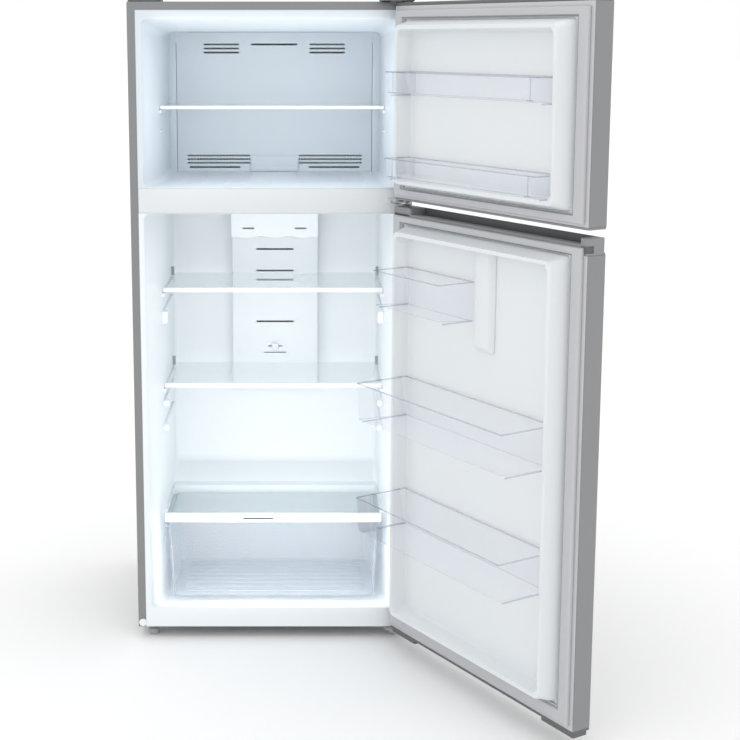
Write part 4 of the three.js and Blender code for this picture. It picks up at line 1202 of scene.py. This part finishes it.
class FRIDGE_OT_bins(bpy.types.Operator):
    """Builds the five clear door bins"""

    bl_idname = "fridge.bins"
    bl_label = "Door bins"

    def execute(self, context):
        for name, start, front, end_box in BINS:
            self.bin(name, (start, BIN_HALF), front, end_box)
        return {"FINISHED"}

    def bin(self, name, x, front, end_box):
        """A clear trough whose floor rises to its front, with a rolled rim and the ends that it has."""
        z = spans(name)[2]
        foot = ((x[0] + 2, x[1] - 2), (BIN_BACK, front - 4), z[0])
        rim = (x, (BIN_BACK, front), z[1] - 2)
        bm = bmesh.new()
        corners = stepped(bm, [rim, foot], axis=2)
        raised = [v for v in bm.verts if v.co.z < z[0] + 1 and v.co.y > front - 10]
        bmesh.ops.translate(bm, vec=(0, 0, 8), verts=raised)
        upright = [e for e in corners if min(v.co.y for v in e.verts) > front - 12]
        turned = bevel(bm, upright, size("bin_corner"), 5)["faces"]
        low = [e for e in bm.edges if turn_of(e) > SHARP and max(v.co.z for v in e.verts) < z[0] + 12]
        turned += bevel(bm, low, 2.2, 2)["faces"]
        # The rounded corners and low edges take the edge finish: painted shade.
        for face in turned:
            if face.is_valid:
                face.material_index = 1
        bmesh.ops.recalc_face_normals(bm, faces=bm.faces)
        self.beads(bm, x, z, front, end_box)
        finishes = [clear_plastic(), clear_edge_painted_shade()]
        piece(bm, name + "_trough", name, "clear_plastic", finishes, name, place=OPENED)

    def beads(self, bm, x, z, front, end_box):
        """The thicker parts that show, finished in the edge finish's painted shade: the rim, the front
        corners, the boxed ends and their sills.
        """
        wall = BIN_WALL
        top = (z[1] - 3, z[1])
        rails = [(x, (front - wall, front), top), (x, (BIN_BACK, BIN_BACK + wall), top)]
        for side in ((x[0], x[0] + wall), (x[1] - wall, x[1])):
            rails.append((side, (BIN_BACK + 2, front - 2), top))
        if end_box:
            for box in both_sides(BIN_HALF - end_box - 1, BIN_HALF - end_box + 1):
                block(bm, box, (0, front - 5), (z[0] + 6, z[1] - 1), 0.4, 2)
                rails.append((box, (front - 5, front - 3), (z[0] + 9, z[1] - 1)))
                rails.append((grown(box, 10), (front - 5, front - 3), (z[0] + 7, z[0] + 9)))
        for sill in ((x[0] + 2.5, x[0] + 6), (x[1] - 6, x[1] - 2.5)):
            rails.append((sill, (BIN_BACK + 2, front - 16), (z[0], z[0] + 3)))
        # The beads take the edge finish: painted shade.
        for rail in rails:
            finished_in(block(bm, *rail, 0.5, 2), 1)


# ---------------------------------------------------------------- hinges, feet and hidden parts
class FRIDGE_OT_fittings(bpy.types.Operator):
    """Builds the hinges, hinge covers, feet and rollers with softened edges"""

    bl_idname = "fridge.fittings"
    bl_label = "Hinges and feet"

    def execute(self, context):
        for node in ("top_hinge", "middle_hinge", "bottom_hinge"):
            soft_copy(node, "cabinet", "zinc_plate", zinc_plate(), 0.4)
        for node in ("top_hinge_cover", "hinge_blank_cover"):
            soft_copy(node, "cabinet", "dark_cap", dark_cap(), 1.2)
        for side in ("left", "right"):
            leg = "levelling_leg_" + side
            soft_copy(leg, leg, "grey_plastic", grey_foot(), 0.5)
            wheel = "rear_roller_" + side
            soft_copy(wheel, wheel, "black_plastic", black_plastic(), 0.8)
        return {"FINISHED"}


def carried_finishes():
    """The finish of each CAD node that is shown as it is."""
    return {
        "foam_insulation": foam(),
        "base_pan": galvanised(),
        "machine_cover": galvanised(),
        "evaporator_coil": aluminium(),
        # The fan takes the freezer panel's darker colour: painted shade.
        "evaporator_fan": freezer_panel_painted_shade(),
        "fan_motor": black_plastic(),
        "defrost_heater": aluminium(),
        "lamp_board": board_green(),
        "compressor": black_enamel(),
        "drain_pan": moulded_panel(),
        "condenser_coil": condenser_paint(),
        "cord_gland": black_plastic(),
    }


class FRIDGE_OT_hidden(bpy.types.Operator):
    """Gives the parts inside and behind the cabinet their finishes"""

    bl_idname = "fridge.hidden"
    bl_label = "Inner parts"

    def execute(self, context):
        for node, material in carried_finishes().items():
            materials = frame["nodes"][node].data.materials
            materials.clear()
            materials.append(material)
        return {"FINISHED"}


# ---------------------------------------------------------------- stage
FLOOR_REACH = 90
LENS = 71.1
SHIFT = (0.087, -0.12)
TILT = math.radians(9.57)
EYE = (86, -3622, 1557)


def softbox(name, place, aim, sides, power):
    """A rectangular area light aimed at a point."""
    light = bpy.data.lights.new(name, "AREA")
    light.shape = "RECTANGLE"
    light.size, light.size_y = sides
    light.energy = power
    lamp = bpy.data.objects.new(name, light)
    lamp.location = place
    lamp.rotation_euler = (Vector(aim) - Vector(place)).to_track_quat("-Z", "Y").to_euler()
    bpy.context.scene.collection.objects.link(lamp)


class FRIDGE_OT_stage(bpy.types.Operator):
    """Sets up the floor, the studio light and the camera"""

    bl_idname = "fridge.stage"
    bl_label = "Stage"

    def execute(self, context):
        self.floor()
        self.lights()
        self.camera(context)
        return {"FINISHED"}

    def floor(self):
        """A wide pale floor just under the feet."""
        bm = bmesh.new()
        bmesh.ops.create_grid(bm, x_segments=1, y_segments=1, size=FLOOR_REACH)
        mesh = bpy.data.meshes.new("studio_floor")
        bm.to_mesh(mesh)
        bm.free()
        matt = finish("studio_floor_matt", tint("floor"), (0.7, 0.8), 30, 0.01, 0.01)
        mesh.materials.append(matt)
        ground = bpy.data.objects.new("studio_floor", mesh)
        bpy.context.scene.collection.objects.link(ground)

    def lights(self):
        """White surroundings, a soft key, an overhead light and the even spill of the lamps inside."""
        world = bpy.data.worlds.new("studio")
        world.use_nodes = True
        background = world.node_tree.nodes["Background"]
        background.inputs["Color"].default_value = (1, 1, 1, 1)
        background.inputs["Strength"].default_value = 1.0
        bpy.context.scene.world = world
        softbox("key", (-2.6, -3.2, 3.4), (0, 0, 0.9), (2.4, 2.4), 5)
        sky = bpy.data.lights.new("overhead", "SUN")
        sky.energy = 0.45
        sky.angle = math.radians(90)
        overhead = bpy.data.objects.new("overhead", sky)
        bpy.context.scene.collection.objects.link(overhead)
        for liner, power in (("fridge_liner", 0.95), ("freezer_liner", 0.6)):
            low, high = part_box(liner)
            middle = Vector(((low.x + high.x) / 2, low.y - 0.02, (low.z + high.z) / 2))
            spill = (0.86 * (high.x - low.x), 0.86 * (high.z - low.z))
            softbox(liner + "_spill", middle, middle + Vector((0, 1, 0)), spill, power)
        low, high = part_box("crisper_drawer")
        middle = Vector(((low.x + high.x) / 2, low.y - 0.05, (low.z + high.z) / 2))
        spill = (high.x - low.x, high.z - low.z)
        softbox("drawer_spill", middle, middle + Vector((0, 1, 0)), spill, 0.68)

    def camera(self, context):
        """A moderately long lens at standing eye height, in line with the cabinet."""
        data = bpy.data.cameras.new("camera")
        data.sensor_width = 36
        data.lens = LENS
        data.shift_x, data.shift_y = SHIFT
        eye = bpy.data.objects.new("camera", data)
        eye.location = CABINET @ Vector(EYE)
        eye.rotation_euler = (math.pi / 2 - TILT, 0, 0)
        context.scene.collection.objects.link(eye)
        context.scene.camera = eye
        context.scene.view_settings.view_transform = "Standard"


# ---------------------------------------------------------------- add-on
OPERATORS = (
    FRIDGE_OT_cabinet,
    FRIDGE_OT_liners,
    FRIDGE_OT_mullion,
    FRIDGE_OT_cold_air,
    FRIDGE_OT_shelves,
    FRIDGE_OT_crisper,
    FRIDGE_OT_doors,
    FRIDGE_OT_bins,
    FRIDGE_OT_fittings,
    FRIDGE_OT_hidden,
    FRIDGE_OT_stage,
)


class FRIDGE_PT_panel(bpy.types.Panel):
    """Lists the refrigerator's pieces, sizes and colours"""

    bl_idname = "FRIDGE_PT_panel"
    bl_label = "Refrigerator"
    bl_space_type = "VIEW_3D"
    bl_region_type = "UI"
    bl_category = "Refrigerator"

    def draw(self, context):
        for operator in OPERATORS:
            self.layout.operator(operator.bl_idname)
        for group in (context.scene.fridge_sizes, context.scene.fridge_colours):
            for name in group.__annotations__:
                self.layout.prop(group, name)


CLASSES = (FridgeSizes, FridgeColours, *OPERATORS, FRIDGE_PT_panel)


def register():
    """Registers the classes and adds the sizes and colours to the scene."""
    for cls in CLASSES:
        bpy.utils.register_class(cls)
    bpy.types.Scene.fridge_sizes = PointerProperty(type=FridgeSizes)
    bpy.types.Scene.fridge_colours = PointerProperty(type=FridgeColours)


def unregister():
    """Removes what register added."""
    del bpy.types.Scene.fridge_colours
    del bpy.types.Scene.fridge_sizes
    for cls in reversed(CLASSES):
        bpy.utils.unregister_class(cls)


def main():
    """Builds every piece."""
    register()
    for operator in OPERATORS:
        group, name = operator.bl_idname.split(".")
        getattr(getattr(bpy.ops, group), name)()


if __name__ == "__main__":
    main()
